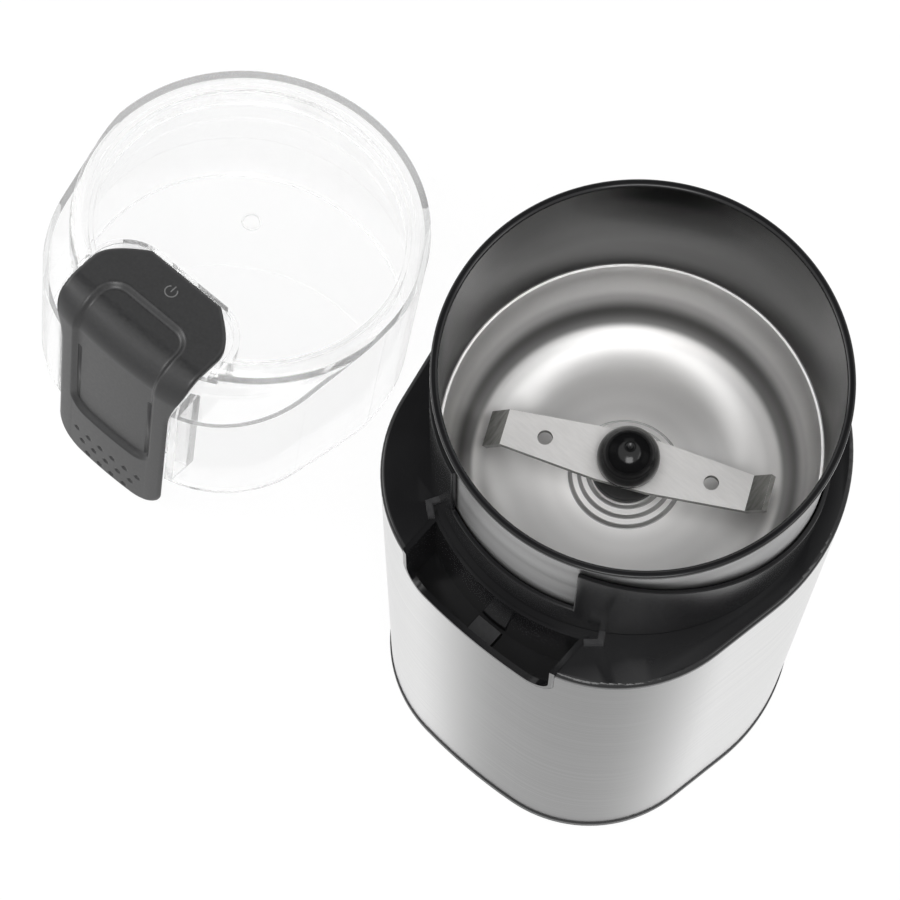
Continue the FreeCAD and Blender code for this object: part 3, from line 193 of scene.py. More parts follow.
def soft_lamp(name, place, size, power):
    """A rectangle of light, in metres and watts, that faces the grinder."""
    data = bpy.data.lights.new(name, "AREA")
    data.shape = "RECTANGLE"
    data.size, data.size_y = size
    data.energy = power
    lamp = put_in_scene(name, data)
    lamp.location = place
    towards = Vector(LAMP_TARGET) - Vector(place)
    lamp.rotation_euler = towards.to_track_quat("-Z", "Y").to_euler()
    lamp.visible_camera = False


soft_lamp("camera_side_window", (0.55, -0.65, 1.5), (0.7, 0.7), 11)
soft_lamp("left_window", (-1.1, -0.5, 0.9), (0.8, 0.8), 7)
soft_lamp("right_window", (1.1, 0.45, 1.0), (0.7, 0.9), 6)
print("three soft lamps")

# %% [markdown]
# The floor is a wide pale sheet. It stays white to the camera but still takes a little of
# the object's shadow, because only a share of what the camera sees is the sheet's own glow.

# %% Floor
FLOOR_REACH, FLOOR_GAP, GLOW_SHARE = 3.0, 0.0002, 0.93

floor_corners = [(x * FLOOR_REACH, y * FLOOR_REACH, 0)
                 for x, y in ((-1, -1), (1, -1), (1, 1), (-1, 1))]
floor_mesh = bpy.data.meshes.new("floor")
floor_mesh.from_pydata(floor_corners, [], [(0, 1, 2, 3)])
floor = put_in_scene("floor", floor_mesh)
floor.location.z = -FLOOR_GAP
paper = bpy.data.materials.new("white_paper")
paper.use_nodes = True
sheet = paper.node_tree
shade = sheet.nodes["Principled BSDF"]
shade.inputs["Base Color"].default_value = (0.9, 0.9, 0.9, 1)
shade.inputs["Roughness"].default_value = 0.8
glow = sheet.nodes.new("ShaderNodeEmission")
share = arithmetic(sheet, "MULTIPLY", seen_by_eye(sheet), GLOW_SHARE)
sheet.links.new(mixed(sheet, share, shade, glow),
                sheet.nodes["Material Output"].inputs["Surface"])
floor_mesh.materials.append(paper)
print("floor of", 2 * FLOOR_REACH, "m")

# %% [markdown]
# Every finish starts from the same Principled shader. One helper makes it, and a second adds
# the small variations that a real surface has: a noise that changes the gloss, shifts the
# colour and lifts or lowers the surface by a hair.

# %% Helpers for finishes
NOISE_LOW, NOISE_HIGH, NOISE_DETAIL = 0.3, 0.7, 4.0


def new_finish(name, colour, gloss, metal=0.0):
    """A material with one Principled shader; gloss is its roughness."""
    finish = bpy.data.materials.new(name)
    finish.use_nodes = True
    shader = finish.node_tree.nodes["Principled BSDF"]
    shader.inputs["Base Color"].default_value = (*colour, 1)
    shader.inputs["Roughness"].default_value = gloss
    shader.inputs["Metallic"].default_value = metal
    finish.diffuse_color = (*colour, 1)
    return finish, finish.node_tree, shader


def grain(tree, shader, stretch, scale, gloss_range, colours, bump=0.0):
    """Noise on Object coordinates, stretched by a mapping; bump is in metres."""
    place = tree.nodes.new("ShaderNodeTexCoord")
    mapping = tree.nodes.new("ShaderNodeMapping")
    mapping.inputs["Scale"].default_value = stretch
    noise = tree.nodes.new("ShaderNodeTexNoise")
    noise.inputs["Scale"].default_value = scale
    noise.inputs["Detail"].default_value = NOISE_DETAIL
    tree.links.new(place.outputs["Object"], mapping.inputs["Vector"])
    tree.links.new(mapping.outputs["Vector"], noise.inputs["Vector"])
    spread = tree.nodes.new("ShaderNodeMapRange")
    for title, level in (("From Min", NOISE_LOW), ("From Max", NOISE_HIGH),
                         ("To Min", gloss_range[0]), ("To Max", gloss_range[1])):
        spread.inputs[title].default_value = level
    tree.links.new(noise.outputs["Fac"], spread.inputs["Value"])
    tree.links.new(spread.outputs["Result"], shader.inputs["Roughness"])
    tint = tree.nodes.new("ShaderNodeValToRGB")
    for stop, position, colour in zip(tint.color_ramp.elements, (NOISE_LOW, NOISE_HIGH), colours):
        stop.position = position
        stop.color = (*colour, 1)
    tree.links.new(noise.outputs["Fac"], tint.inputs["Fac"])
    tree.links.new(tint.outputs["Color"], shader.inputs["Base Color"])
    if bump:
        relief = tree.nodes.new("ShaderNodeBump")
        relief.inputs["Strength"].default_value = 1.0
        relief.inputs["Distance"].default_value = bump
        tree.links.new(noise.outputs["Fac"], relief.inputs["Height"])
        tree.links.new(relief.outputs["Normal"], shader.inputs["Normal"])


def darken(tree, shader, tone):
    """Multiplies the colour that already feeds a shader by a tone."""
    mix = tree.nodes.new("ShaderNodeMix")
    mix.data_type = "RGBA"
    mix.blend_type = "MULTIPLY"
    mix.inputs[0].default_value = 1.0
    colour = shader.inputs["Base Color"].links[0].from_socket
    tree.links.new(colour, mix.inputs[6])
    tree.links.new(tone, mix.inputs[7])
    tree.links.new(mix.outputs[2], shader.inputs["Base Color"])


print("three helpers for finishes")

# %% [markdown]
# The housing is brushed: its fine lines run round the body, so the noise is squeezed hard
# along Z and left long sideways. Brushing also spreads reflections up and down but not
# sideways, which is what anisotropy round the Z axis does. A real brushed body has two broad
# dark corners where the sheet turns from the light. They are painted here, as a wave of the
# angle round the axis, so they stay where they are when the lamps move.

# %% Steel of the housing
CORNER_AZIMUTH, CORNER_TONE = -66, 0.22


def brushed_round(tree, shader, amount):
    """Turns the highlight's direction so that it follows the body round the Z axis."""
    shader.inputs["Anisotropic"].default_value = amount
    round_axis = tree.nodes.new("ShaderNodeTangent")
    round_axis.direction_type = "RADIAL"
    round_axis.axis = "Z"
    tree.links.new(round_axis.outputs["Tangent"], shader.inputs["Tangent"])


def corner_bands(tree, shader, azimuth, dark):
    """Broad darker bands on two opposite corners."""
    place = tree.nodes.new("ShaderNodeTexCoord")
    split = tree.nodes.new("ShaderNodeSeparateXYZ")
    tree.links.new(place.outputs["Object"], split.inputs[0])
    turn = arithmetic(tree, "ARCTAN2", split.outputs["Y"], split.outputs["X"])
    twice = arithmetic(tree, "MULTIPLY_ADD", turn, 2.0, -2 * math.radians(azimuth))
    wave = arithmetic(tree, "COSINE", twice)
    darken(tree, shader, step_between(tree, wave, 0.05, 1.0, 1.0, dark))


shell_steel, tree, shader = new_finish("shell_steel", (0.7, 0.7, 0.7), 0.32, 1.0)
grain(tree, shader, (6, 6, 1500), 1.0, (0.3, 0.4),
      ((0.64, 0.64, 0.64), (0.78, 0.78, 0.775)), 0.000004)
corner_bands(tree, shader, CORNER_AZIMUTH, CORNER_TONE)
brushed_round(tree, shader, 0.6)
print("housing: brushed steel, darkest at", CORNER_AZIMUTH, "degrees and opposite")

# %% [markdown]
# The bowl of the cup is bright satin. Its colour is multiplied by a row of tones, each at its
# radius, which are painted reflection: bright and dark rings round the axis.

# %% Steel of the bowl
BOWL_PAINTED_REFLECTION_TONES = ((0, 1.0), (12, 1.0), (17, 0.8), (22, 0.68), (28, 0.6), (32, 0.66),
              (34.3, 1.0), (35.6, 0.4), (37.5, 0.24), (39.5, 0.8), (40.5, 1.0), (42.5, 1.0))
RAMP_RADIUS, PER_METRE = 50, 20


def painted_reflection_rings(tree, shader, stops):
    """Painted reflection as tones in rings round the Z axis, given as (radius in mm, tone)."""
    place = tree.nodes.new("ShaderNodeTexCoord")
    flatten = tree.nodes.new("ShaderNodeVectorMath")
    flatten.operation = "MULTIPLY"
    flatten.inputs[1].default_value = (PER_METRE, PER_METRE, 0)
    radius = tree.nodes.new("ShaderNodeVectorMath")
    radius.operation = "LENGTH"
    rings = tree.nodes.new("ShaderNodeValToRGB")
    rings.color_ramp.interpolation = "EASE"
    while len(rings.color_ramp.elements) < len(stops):
        rings.color_ramp.elements.new(0.5)
    for element, (size, tone) in zip(rings.color_ramp.elements, stops):
        element.position = size / RAMP_RADIUS
        element.color = (tone, tone, tone, 1)
    tree.links.new(place.outputs["Object"], flatten.inputs[0])
    tree.links.new(flatten.outputs[0], radius.inputs[0])
    tree.links.new(radius.outputs["Value"], rings.inputs["Fac"])
    darken(tree, shader, rings.outputs["Color"])


bowl_steel, tree, shader = new_finish("bowl_steel", (0.9, 0.89, 0.88), 0.5, 1.0)
grain(tree, shader, (30, 30, 30), 1.0, (0.47, 0.54),
      ((0.93, 0.925, 0.92), (0.97, 0.96, 0.95)), 0.000002)
# painted reflection: bright and dark rings of tone multiply the bowl's colour
painted_reflection_rings(tree, shader, BOWL_PAINTED_REFLECTION_TONES)
brushed_round(tree, shader, 0.7)
print("bowl: satin steel with", len(BOWL_PAINTED_REFLECTION_TONES), "tones from the middle out")

# %% [markdown]
# The other metals need only a colour and a grain. The cup's inner wall is mirror-like, and its
# near-black colour is painted reflection; its outside is duller. The blade is satin, and its
# ground tips and other tilted faces get their own grain and a far darker colour, painted shade.
# The windings and the motor's iron get fine level lines, which read as wire and as stacked sheet.

# %% Other metals
# painted reflection: the inner wall's near-black colour stands in for the dark surroundings it
# mirrors
painted_reflection_wall_steel, tree, shader = new_finish("painted_reflection_wall_steel", (0.1, 0.1, 0.1), 0.14, 1.0)
grain(tree, shader, (12, 12, 120), 1.0, (0.12, 0.17),
      ((0.045, 0.045, 0.045), (0.065, 0.065, 0.065)))

outer_steel, tree, shader = new_finish("outer_steel", (0.42, 0.42, 0.42), 0.28, 1.0)
grain(tree, shader, (12, 12, 300), 1.0, (0.36, 0.42), ((0.4, 0.4, 0.4), (0.46, 0.46, 0.46)))

blade_steel, tree, shader = new_finish("blade_steel", (0.92, 0.91, 0.9), 0.58, 1.0)
grain(tree, shader, (300, 1800, 300), 1.0, (0.55, 0.62),
      ((0.78, 0.77, 0.76), (0.84, 0.83, 0.82)), 0.000001)

# painted shade: the blade's tilted faces and tips get this far darker steel
painted_shade_blade_steel, tree, shader = new_finish("painted_shade_blade_steel", (0.22, 0.22, 0.21), 0.35, 1.0)
grain(tree, shader, (1800, 300, 300), 1.0, (0.3, 0.42),
      ((0.16, 0.16, 0.15), (0.28, 0.28, 0.27)), 0.000002)

plated_steel, tree, shader = new_finish("plated_steel", (0.62, 0.62, 0.64), 0.2, 1.0)
grain(tree, shader, (60, 60, 60), 6.0, (0.16, 0.26),
      ((0.58, 0.58, 0.6), (0.66, 0.66, 0.68)), 0.000002)

brass_parts, tree, shader = new_finish("brass_parts", (0.72, 0.52, 0.26), 0.3, 1.0)
grain(tree, shader, (50, 50, 300), 3.0, (0.25, 0.4),
      ((0.66, 0.46, 0.22), (0.76, 0.56, 0.3)), 0.000003)

enamelled_wire, tree, shader = new_finish("enamelled_wire", (0.6, 0.22, 0.08), 0.25, 0.8)
grain(tree, shader, (40, 40, 1200), 1.0, (0.2, 0.4),
      ((0.42, 0.14, 0.05), (0.7, 0.28, 0.1)), 0.00008)

motor_iron, tree, shader = new_finish("motor_iron", (0.2, 0.2, 0.21), 0.5, 0.9)
grain(tree, shader, (10, 10, 2000), 1.0, (0.4, 0.6),
      ((0.13, 0.13, 0.14), (0.26, 0.26, 0.27)), 0.00004)
print("eight more metals")

# %% [markdown]
# Plastics and rubber are not metal: their own colour is nearly black and the light that
# shows is the reflection on their skin. A faint unevenness in the gloss keeps them from
# looking like glass. The two glossiest get a weaker skin, so that they stay black.

# %% Plastics and rubber
EVEN = (1, 1, 1)

gloss_black, tree, shader = new_finish("gloss_black", (0.006, 0.006, 0.0065), 0.13)
grain(tree, shader, EVEN, 45.0, (0.11, 0.16),
      ((0.005, 0.005, 0.0055), (0.008, 0.008, 0.0085)), 0.000004)
shader.inputs["Specular IOR Level"].default_value = 0.28

collar_black, tree, shader = new_finish("collar_black", (0.006, 0.006, 0.0065), 0.2)
grain(tree, shader, EVEN, 60.0, (0.17, 0.23),
      ((0.005, 0.005, 0.0055), (0.008, 0.008, 0.0085)), 0.000004)
shader.inputs["Specular IOR Level"].default_value = 0.12

satin_black, tree, shader = new_finish("satin_black", (0.012, 0.012, 0.013), 0.38)
grain(tree, shader, EVEN, 900.0, (0.32, 0.45),
      ((0.01, 0.01, 0.011), (0.015, 0.015, 0.016)), 0.00001)

plate_black, tree, shader = new_finish("plate_black", (0.012, 0.012, 0.013), 0.36)
grain(tree, shader, EVEN, 1200.0, (0.33, 0.4),
      ((0.007, 0.007, 0.0075), (0.011, 0.011, 0.0115)), 0.000003)

black_rubber, tree, shader = new_finish("black_rubber", (0.02, 0.02, 0.02), 0.6)
grain(tree, shader, EVEN, 700.0, (0.5, 0.7),
      ((0.014, 0.014, 0.014), (0.028, 0.028, 0.028)), 0.00002)

grey_nylon, tree, shader = new_finish("grey_nylon", (0.42, 0.42, 0.41), 0.45)
grain(tree, shader, EVEN, 500.0, (0.38, 0.52),
      ((0.38, 0.38, 0.37), (0.46, 0.46, 0.45)), 0.00001)

carbon, tree, shader = new_finish("carbon", (0.03, 0.03, 0.03), 0.55)
grain(tree, shader, EVEN, 900.0, (0.45, 0.65),
      ((0.02, 0.02, 0.02), (0.045, 0.045, 0.045)), 0.00001)

mark_grey, tree, shader = new_finish("mark_grey", (0.1, 0.1, 0.1), 0.5)
grain(tree, shader, EVEN, 900.0, (0.45, 0.6), ((0.09, 0.09, 0.09), (0.12, 0.12, 0.12)))
print("eight blacks and greys")

# %% [markdown]
# The lid is clear plastic. It bends light by 1.49 and takes a little of it away where it is
# looked through lengthwise, which is what draws its grey edges. A share of plain see-through
# keeps the moulding's thick corners from going black.

# %% Clear plastic
BENDS_LIGHT, REFRACTING_SHARE = 1.49, 0.88
EDGE_STOPS = ((0.8, 1.0), (1.0, 0.12))

clear_plastic, tree, shader = new_finish("clear_plastic", (1, 1, 1), 0.0)
shader.inputs["Transmission Weight"].default_value = 1.0
shader.inputs["IOR"].default_value = BENDS_LIGHT
thickness_tint = tree.nodes.new("ShaderNodeVolumeAbsorption")
thickness_tint.inputs["Color"].default_value = (0.55, 0.57, 0.57, 1)
thickness_tint.inputs["Density"].default_value = 5.0
see_through = tree.nodes.new("ShaderNodeBsdfTransparent")
glance = tree.nodes.new("ShaderNodeLayerWeight")
glance.inputs["Blend"].default_value = 0.5
edge_grey = tree.nodes.new("ShaderNodeValToRGB")
for stop, (position, tone) in zip(edge_grey.color_ramp.elements, EDGE_STOPS):
    stop.position = position
    stop.color = (tone, tone, tone, 1)
tree.links.new(glance.outputs["Facing"], edge_grey.inputs["Fac"])
tree.links.new(edge_grey.outputs["Color"], see_through.inputs["Color"])
result = tree.nodes["Material Output"]
tree.links.new(mixed(tree, REFRACTING_SHARE, see_through, shader), result.inputs["Surface"])
tree.links.new(thickness_tint.outputs[0], result.inputs["Volume"])
print("clear plastic, index", BENDS_LIGHT)

# %% [markdown]
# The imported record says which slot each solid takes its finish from, so one loop dresses
# them all.

# %% Dress the solids
finishes = {
    "shell_steel": shell_steel, "cup_steel": bowl_steel, "blade_steel": blade_steel,
    "gloss_black": gloss_black, "satin_black": satin_black, "plate_black": plate_black,
    "clear_plastic": clear_plastic, "black_rubber": black_rubber, "plated_steel": plated_steel,
    "spring_steel": plated_steel, "grey_nylon": grey_nylon, "motor_iron": motor_iron,
    "enamelled_wire": enamelled_wire, "brass_parts": brass_parts, "carbon": carbon,
}
slot_of = {part["node"]: part["material_slot"] for part in frame["record"]["subparts"]}
for name, solid in solids.items():
    solid.data.materials.clear()
    solid.data.materials.append(finishes[slot_of[name]])
print("dressed", len(solids), "solids")

# %% [markdown]
# A new piece is a plain mesh in the scene. One helper puts it there with its finishes,
# ties it to its moving body and hides the solid that it stands for. A second closes a mesh up
# once its points and faces are laid out.

# %% Helpers that close a mesh and hand a piece over
DOUBLE_POINTS = 1e-7


def add_piece(name, mesh, finish_list, body, stands_for=None, smooth=True):
    """Links a finished mesh as a piece that rides on a body."""
    for finish in finish_list:
        mesh.materials.append(finish)
    if smooth:
        mesh.shade_smooth()
    piece = put_in_scene(name, mesh)
    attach(piece, body)
    if stands_for:
        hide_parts(stands_for)
    print(name, "has", len(mesh.polygons), "faces")
    return piece


def close_up(mesh):
    """Merges doubled points and turns every face outward."""
    work = bmesh.new()
    work.from_mesh(mesh)
    bmesh.ops.remove_doubles(work, verts=work.verts, dist=DOUBLE_POINTS)
    bmesh.ops.recalc_face_normals(work, faces=work.faces)
    work.to_mesh(mesh)
    work.free()
    return mesh


# %% [markdown]
# The cup is deep-drawn from one disc of sheet, so it is a body of revolution. Its outline is
# drawn once, half in section, and turned about the axis on a lathe. A short arc stands at
# every corner, because sheet metal has no sharp ones and it is these small radii that catch
# the light.

# %% Lathe
ARC_STEPS, MOST_OF_SIDE, SMALL_ARC, LATHE_STEPS = 5, 0.9, 3, 256


def rounded(points):
    """A closed section as (r, z, corner radius) with an arc at each corner, in mm."""
    outline = []
    count = len(points)
    for index in range(count):
        r, z, radius = points[index]
        here = Vector((r, z))
        if radius <= 0:
            outline.append(here)
            continue
        before = Vector(points[index - 1][:2]) - here
        after = Vector(points[(index + 1) % count][:2]) - here
        half_turn = before.angle(after) / 2
        cut = min(radius / math.tan(half_turn), MOST_OF_SIDE * before.length,
                  MOST_OF_SIDE * after.length)
        size = cut * math.tan(half_turn)
        inward = (before.normalized() + after.normalized()).normalized()
        middle = here + inward * (size / math.sin(half_turn))
        start = here + before.normalized() * cut - middle
        end = here + after.normalized() * cut - middle
        sweep = start.angle_signed(end)
        amount = max(2, int(ARC_STEPS * max(1.0, size / SMALL_ARC)))
        for step in range(amount + 1):
            turn = Matrix.Rotation(-sweep * step / amount, 2)
            outline.append(middle + turn @ start)
    return outline


def lathe(name, outline, turns=LATHE_STEPS):
    """Turns a closed section about the Z axis; points on the axis close up to one."""
    corners = []
    faces = []
    count = len(outline)
    for turn in range(turns):
        angle = 2 * math.pi * turn / turns
        corners += [(p.x * math.cos(angle) * MM, p.x * math.sin(angle) * MM, p.y * MM)
                    for p in outline]
    for turn in range(turns):
        here = turn * count
        there = (turn + 1) % turns * count
        for index in range(count):
            follow = (index + 1) % count
            faces.append((here + index, there + index, there + follow, here + follow))
    mesh = bpy.data.meshes.new(name)
    mesh.from_pydata(corners, [], faces)
    return close_up(mesh)


print("lathe of", LATHE_STEPS, "steps")

# %% [markdown]
# The section starts under the cup at its hole, goes out and up the outside, over the rolled
# rim and down the inside. One mesh carries four finishes: a face takes its own from its
# height, its distance from the axis and whether it looks outward.

# %% Steel cup
CUP_SECTION = [
    (5.0, 118.9, 0), (8.52, 118.9, 0.3), (9.0, 117.7, 0.3), (10.42, 117.7, 0.3),
    (10.9, 116.5, 0.3), (12.33, 116.5, 0.3), (12.8, 115.3, 0.4), (42.2, 115.3, 18.7),
    (42.2, 137.5, 0.2), (42.7, 137.5, 0.2), (42.7, 179.15, 0.2), (43.3, 179.05, 0.3),
    (44.0, 179.3, 0.35), (43.95, 180.45, 0.45), (42.2, 180.45, 0.7), (42.2, 138.0, 0.15),
    (41.7, 138.0, 0.2), (41.7, 115.8, 18.2), (12.8, 115.8, 0.4), (12.33, 117.0, 0.25),
    (10.9, 117.0, 0.25), (10.43, 118.2, 0.25), (9.0, 118.2, 0.25), (8.53, 119.4, 0.25),
    (5.0, 119.4, 0),
]
BOWL, INNER_WALL, RIM, OUTSIDE = range(4)
RIM_FROM_Z, WALL_FROM_Z, STEP_LOW_Z, STEP_HIGH_Z = 178.6, 138.05, 137.0, 137.2
WALL_INNER_R, WALL_OUTER_R, LOOKS_DOWN_BY = 42.45, 42.3, -0.1

cup_mesh = lathe("steel_cup_piece", rounded(CUP_SECTION))
for face in cup_mesh.polygons:
    r = math.hypot(face.center.x, face.center.y) / MM
    z = face.center.z / MM
    away = face.normal.dot(Vector((face.center.x, face.center.y, 0))) > 0
    if z > RIM_FROM_Z:
        face.material_index = RIM
    elif z > WALL_FROM_Z and r < WALL_INNER_R:
        face.material_index = INNER_WALL
    elif z > STEP_LOW_Z and r > WALL_OUTER_R:
        face.material_index = OUTSIDE
    elif z < STEP_HIGH_Z and (away or face.normal.z < LOOKS_DOWN_BY):
        face.material_index = OUTSIDE
    else:
        face.material_index = BOWL
add_piece("steel_cup_piece", cup_mesh, [bowl_steel, painted_reflection_wall_steel, gloss_black, outer_steel],
          "cup", "steel_cup")

# %% [markdown]
# The hub cap is a domed nut, nearly a ball, with a small dimple on top. It is round all
# about its axis too, so its outline goes on the same lathe as the cup's.

# %% Hub cap
HUB_R, HUB_MIDDLE, DOME_ENDS, DOME_STEPS = 7.05, 127.75, 81.5, 32

dome = [Vector(point) for point in
        ((0.0, 127.8), (3.0, 127.8), (3.0, 126.6), (6.9, 126.6), (7.05, 126.75))]
for step in range(DOME_STEPS + 1):
    angle = math.radians(step * DOME_ENDS / DOME_STEPS)
    dome.append(Vector((HUB_R * math.cos(angle), HUB_MIDDLE + HUB_R * math.sin(angle))))
dome += [Vector((0.8, 134.62)), Vector((0.5, 134.42)), Vector((0.0, 134.35))]
add_piece("hub_cap_piece", lathe("hub_cap_piece", dome, 96), [gloss_black], "blade_set",
          "hub_cap")

# %% [markdown]
# Some solids only need their edges broken, as a mould or a press leaves them. This helper
# copies the solid's mesh, joins its flat faces again and rounds every edge that turns by
# more than 35 degrees. Edges between the long facets of a curve stay smooth.

# %% Soften the edges of a solid
SAME_POINT, SAME_PLANE, ROUND_FROM, SHARP_FROM = 2e-6, 0.1, 35, 14
ROUND_STEPS, EDGE_R, BLADE_EDGE_R = 2, 0.3, 0.18
BLADE_FLAT = 0.93


def softened(node, width, body, finish=None):
    """A copy of a solid with a small round on its edges, in mm."""
    mesh = solids[node].data.copy()
    mesh.materials.clear()
    work = bmesh.new()
    work.from_mesh(mesh)
    bmesh.ops.remove_doubles(work, verts=work.verts, dist=SAME_POINT)
    bmesh.ops.dissolve_limit(work, angle_limit=math.radians(SAME_PLANE),
                             verts=work.verts, edges=work.edges)
    work.to_mesh(mesh)
    work.free()
    holder = put_in_scene(node + "_copy", mesh)
    round_edges = holder.modifiers.new("round", "BEVEL")
    round_edges.width = width * MM
    round_edges.segments = ROUND_STEPS
    round_edges.limit_method = "ANGLE"
    round_edges.angle_limit = math.radians(ROUND_FROM)
    seen_as = holder.evaluated_get(bpy.context.evaluated_depsgraph_get())
    result = bpy.data.meshes.new_from_object(seen_as)
    bpy.data.objects.remove(holder)
    result.name = node + "_piece"
    result.shade_smooth()
    result.set_sharp_from_angle(angle=math.radians(SHARP_FROM))
    return add_piece(node + "_piece", result, [finish or finishes[slot_of[node]]], body, node,
                     smooth=False)


softened("top_deck", EDGE_R, "base")
softened("cup_collar", EDGE_R, "base", collar_black)
softened("pocket_liner", EDGE_R, "base")
blade = softened("blade", BLADE_EDGE_R, "blade_set")
# the tilted faces take the darker steel, which is painted shade
blade.data.materials.append(painted_shade_blade_steel)
for face in blade.data.polygons:
    if abs(face.normal.z) < BLADE_FLAT:
        face.material_index = 1
print("ground faces on the blade:", sum(face.material_index for face in blade.data.polygons))

# %% [markdown]
# A black rim closes the foot of the housing. It stands 0.4 mm proud all round, so it is
# drawn from the outline of the bottom cover, pushed outward.

# %% Foot rim
COVER_UNDERSIDE, RIM_SHARP_FROM = 3.1, 25
RIM_SECTION = ((-0.4, 0.9), (0.25, 0.9), (0.4, 1.1), (0.4, 3.1), (0.25, 3.3), (0.0, 3.3),
               (-0.4, 3.0))

cover_points = [v.co for v in solids["bottom_cover"].data.vertices]
flat_points = [Vector((p.x, p.y)) for p in cover_points if p.z < COVER_UNDERSIDE * MM]
hull = [flat_points[i] for i in geometry.convex_hull_2d(flat_points)]
rim_corners, rim_faces = [], []
for index, point in enumerate(hull):
    along = (hull[(index + 1) % len(hull)] - hull[index - 1]).normalized()
    outward = Vector((along.y, -along.x))
    if outward.dot(point) < 0:
        outward = -outward
    rim_corners += [(*(point + outward * out_by * MM), z * MM) for out_by, z in RIM_SECTION]
steps = len(RIM_SECTION)
for index in range(len(hull)):
    here, there = index * steps, (index + 1) % len(hull) * steps
    for k in range(steps):
        follow = (k + 1) % steps
        rim_faces.append((here + k, there + k, there + follow, here + follow))
rim_mesh = bpy.data.meshes.new("foot_rim")
rim_mesh.from_pydata(rim_corners, [], rim_faces)
close_up(rim_mesh)
rim_mesh.set_sharp_from_angle(angle=math.radians(RIM_SHARP_FROM))
add_piece("foot_rim", rim_mesh, [satin_black], "base", None, False)
print("rim drawn round", len(hull), "points")

# %% [markdown]
# The press plate is a moulding with a soft face: a raised frame runs round a sunk panel, and
# the whole sheet bends over the lid's edge. It is made as a grid laid along the plate's side
# view: s runs along the bend, x across it. At each point the face sinks by an amount that
# depends on how far the point is from the outline and from the panel's edge. All sizes are
# in mm, with the lid seated on the cup's axis and its rim at height nought.

# %% Press plate: outline
FLAP_TOP, FACE_Y, FLAP_END = 50.3, -51.6, -24.4
BEND, TAIL, THICK = 10.0, -19.0, 2.0
FLAT = FLAP_END - (FACE_Y + BEND)
ARC = BEND * math.pi / 2
LENGTH = FLAT + ARC + FLAP_TOP - BEND - TAIL
STEM_HALF, STEM_WIDENS, STEM_RUN = 18.0, 3.3, (24.0, 44.0)
HEAD_HALF, HEAD_WIDENS, HEAD_RUN, HEAD_FULLNESS = 11.5, 9.8, 11.6, 0.95
FOOT_CORNER, HEAD_END, GRIP_FROM = 9.0, 12, 66
FRONT_BOW_R, CORNER_FROM_X = 141.8, 13.2
CORNER_R, CORNER_X, CORNER_Y = 32.3, 10.9, -18.8


def smooth_step(value, low, high):
    """0 up to low, 1 from high on, and soft in between."""
    share = np.clip((value - low) / (high - low), 0, 1)
    return share * share * (3 - 2 * share)


def half_width(s):
    """Half the plate's width at s along its length, rounded at both ends."""
    stem = STEM_HALF + STEM_WIDENS * (1 - smooth_step(s, *STEM_RUN))
    swell = np.sin(np.clip(s / HEAD_RUN, 0, 1) * math.pi / 2) ** HEAD_FULLNESS
    head = HEAD_HALF + HEAD_WIDENS * swell
    foot_left = np.clip(FOOT_CORNER - (LENGTH - s), 0, FOOT_CORNER)
    foot = stem - FOOT_CORNER + np.sqrt(np.maximum(FOOT_CORNER ** 2 - foot_left ** 2, 0))
    return np.minimum(np.minimum(stem, head), foot)


def side_view(s):
    """At s: the face's y and z, its outward direction's y and z, and how far it has bent."""
    turn = np.clip((s - FLAT) / ARC, 0, 1) * math.pi / 2
    down = np.maximum(s - FLAT - ARC, 0)
    y = np.where(s < FLAT, FLAP_END - s, FACE_Y + BEND - BEND * np.sin(turn))
    z = np.where(s < FLAT, FLAP_TOP, FLAP_TOP - BEND + BEND * np.cos(turn) - down)
    return y, z, -np.sin(turn), np.cos(turn), turn / (math.pi / 2)


def bow(x):
    """How far the face falls back at x, because it follows the body's bowed front."""
    side = np.abs(x)
    front = side ** 2 / (2 * FRONT_BOW_R)
    reach = np.sqrt(np.maximum(CORNER_R ** 2 - (side - CORNER_X) ** 2, 0))
    return np.where(side < CORNER_FROM_X, front, CORNER_Y - reach - FACE_Y)


def rows_of_points(*runs):
    """Evenly spaced points in several runs, each given as (start, end, count)."""
    first, *others = [np.linspace(*run) for run in runs]
    return np.concatenate([first] + [run[1:] for run in others])


stations = rows_of_points((0, HEAD_END, 37), (HEAD_END, GRIP_FROM, 150), (GRIP_FROM, LENGTH, 112))
across = np.linspace(-1, 1, 133)
across = across * (1.25 - 0.25 * across ** 2)  # closer together towards the sides
S, U = np.meshgrid(stations, across, indexing="ij")
X = U * half_width(S)
print("plate is", round(LENGTH, 1), "mm long and",
      round(2 * float(half_width(np.array(20.0))), 1), "mm wide")

# %% [markdown]
# The distance to the outline rounds the rim off. The panel is a rounded rectangle that is
# sunk a good millimetre, and its wall is a soft slope nearly two millimetres wide.

# %% Press plate: relief
PANEL_TOP, PANEL_FOOT, PANEL_HALF, PANEL_CORNER = 11.8, 71.0, 13.9, 6.0
PANEL_DEPTH, PANEL_SLOPE = 1.25, (-0.1, 1.6)
EDGE_ROUND, LEAST_EDGE, FAR = 1.0, 1.75, 99.0

foot_from = LENGTH - FOOT_CORNER
rim_s = rows_of_points((0, HEAD_END, 120), (HEAD_END, foot_from, 240), (foot_from, LENGTH, 120))
to_rim = np.full(S.shape, FAR)
for s_rim, x_rim in zip(rim_s, half_width(rim_s)):
    to_rim = np.minimum(to_rim, np.hypot(S - s_rim, np.abs(X) - x_rim))
to_rim = np.minimum(to_rim, np.minimum(S, LENGTH - S))

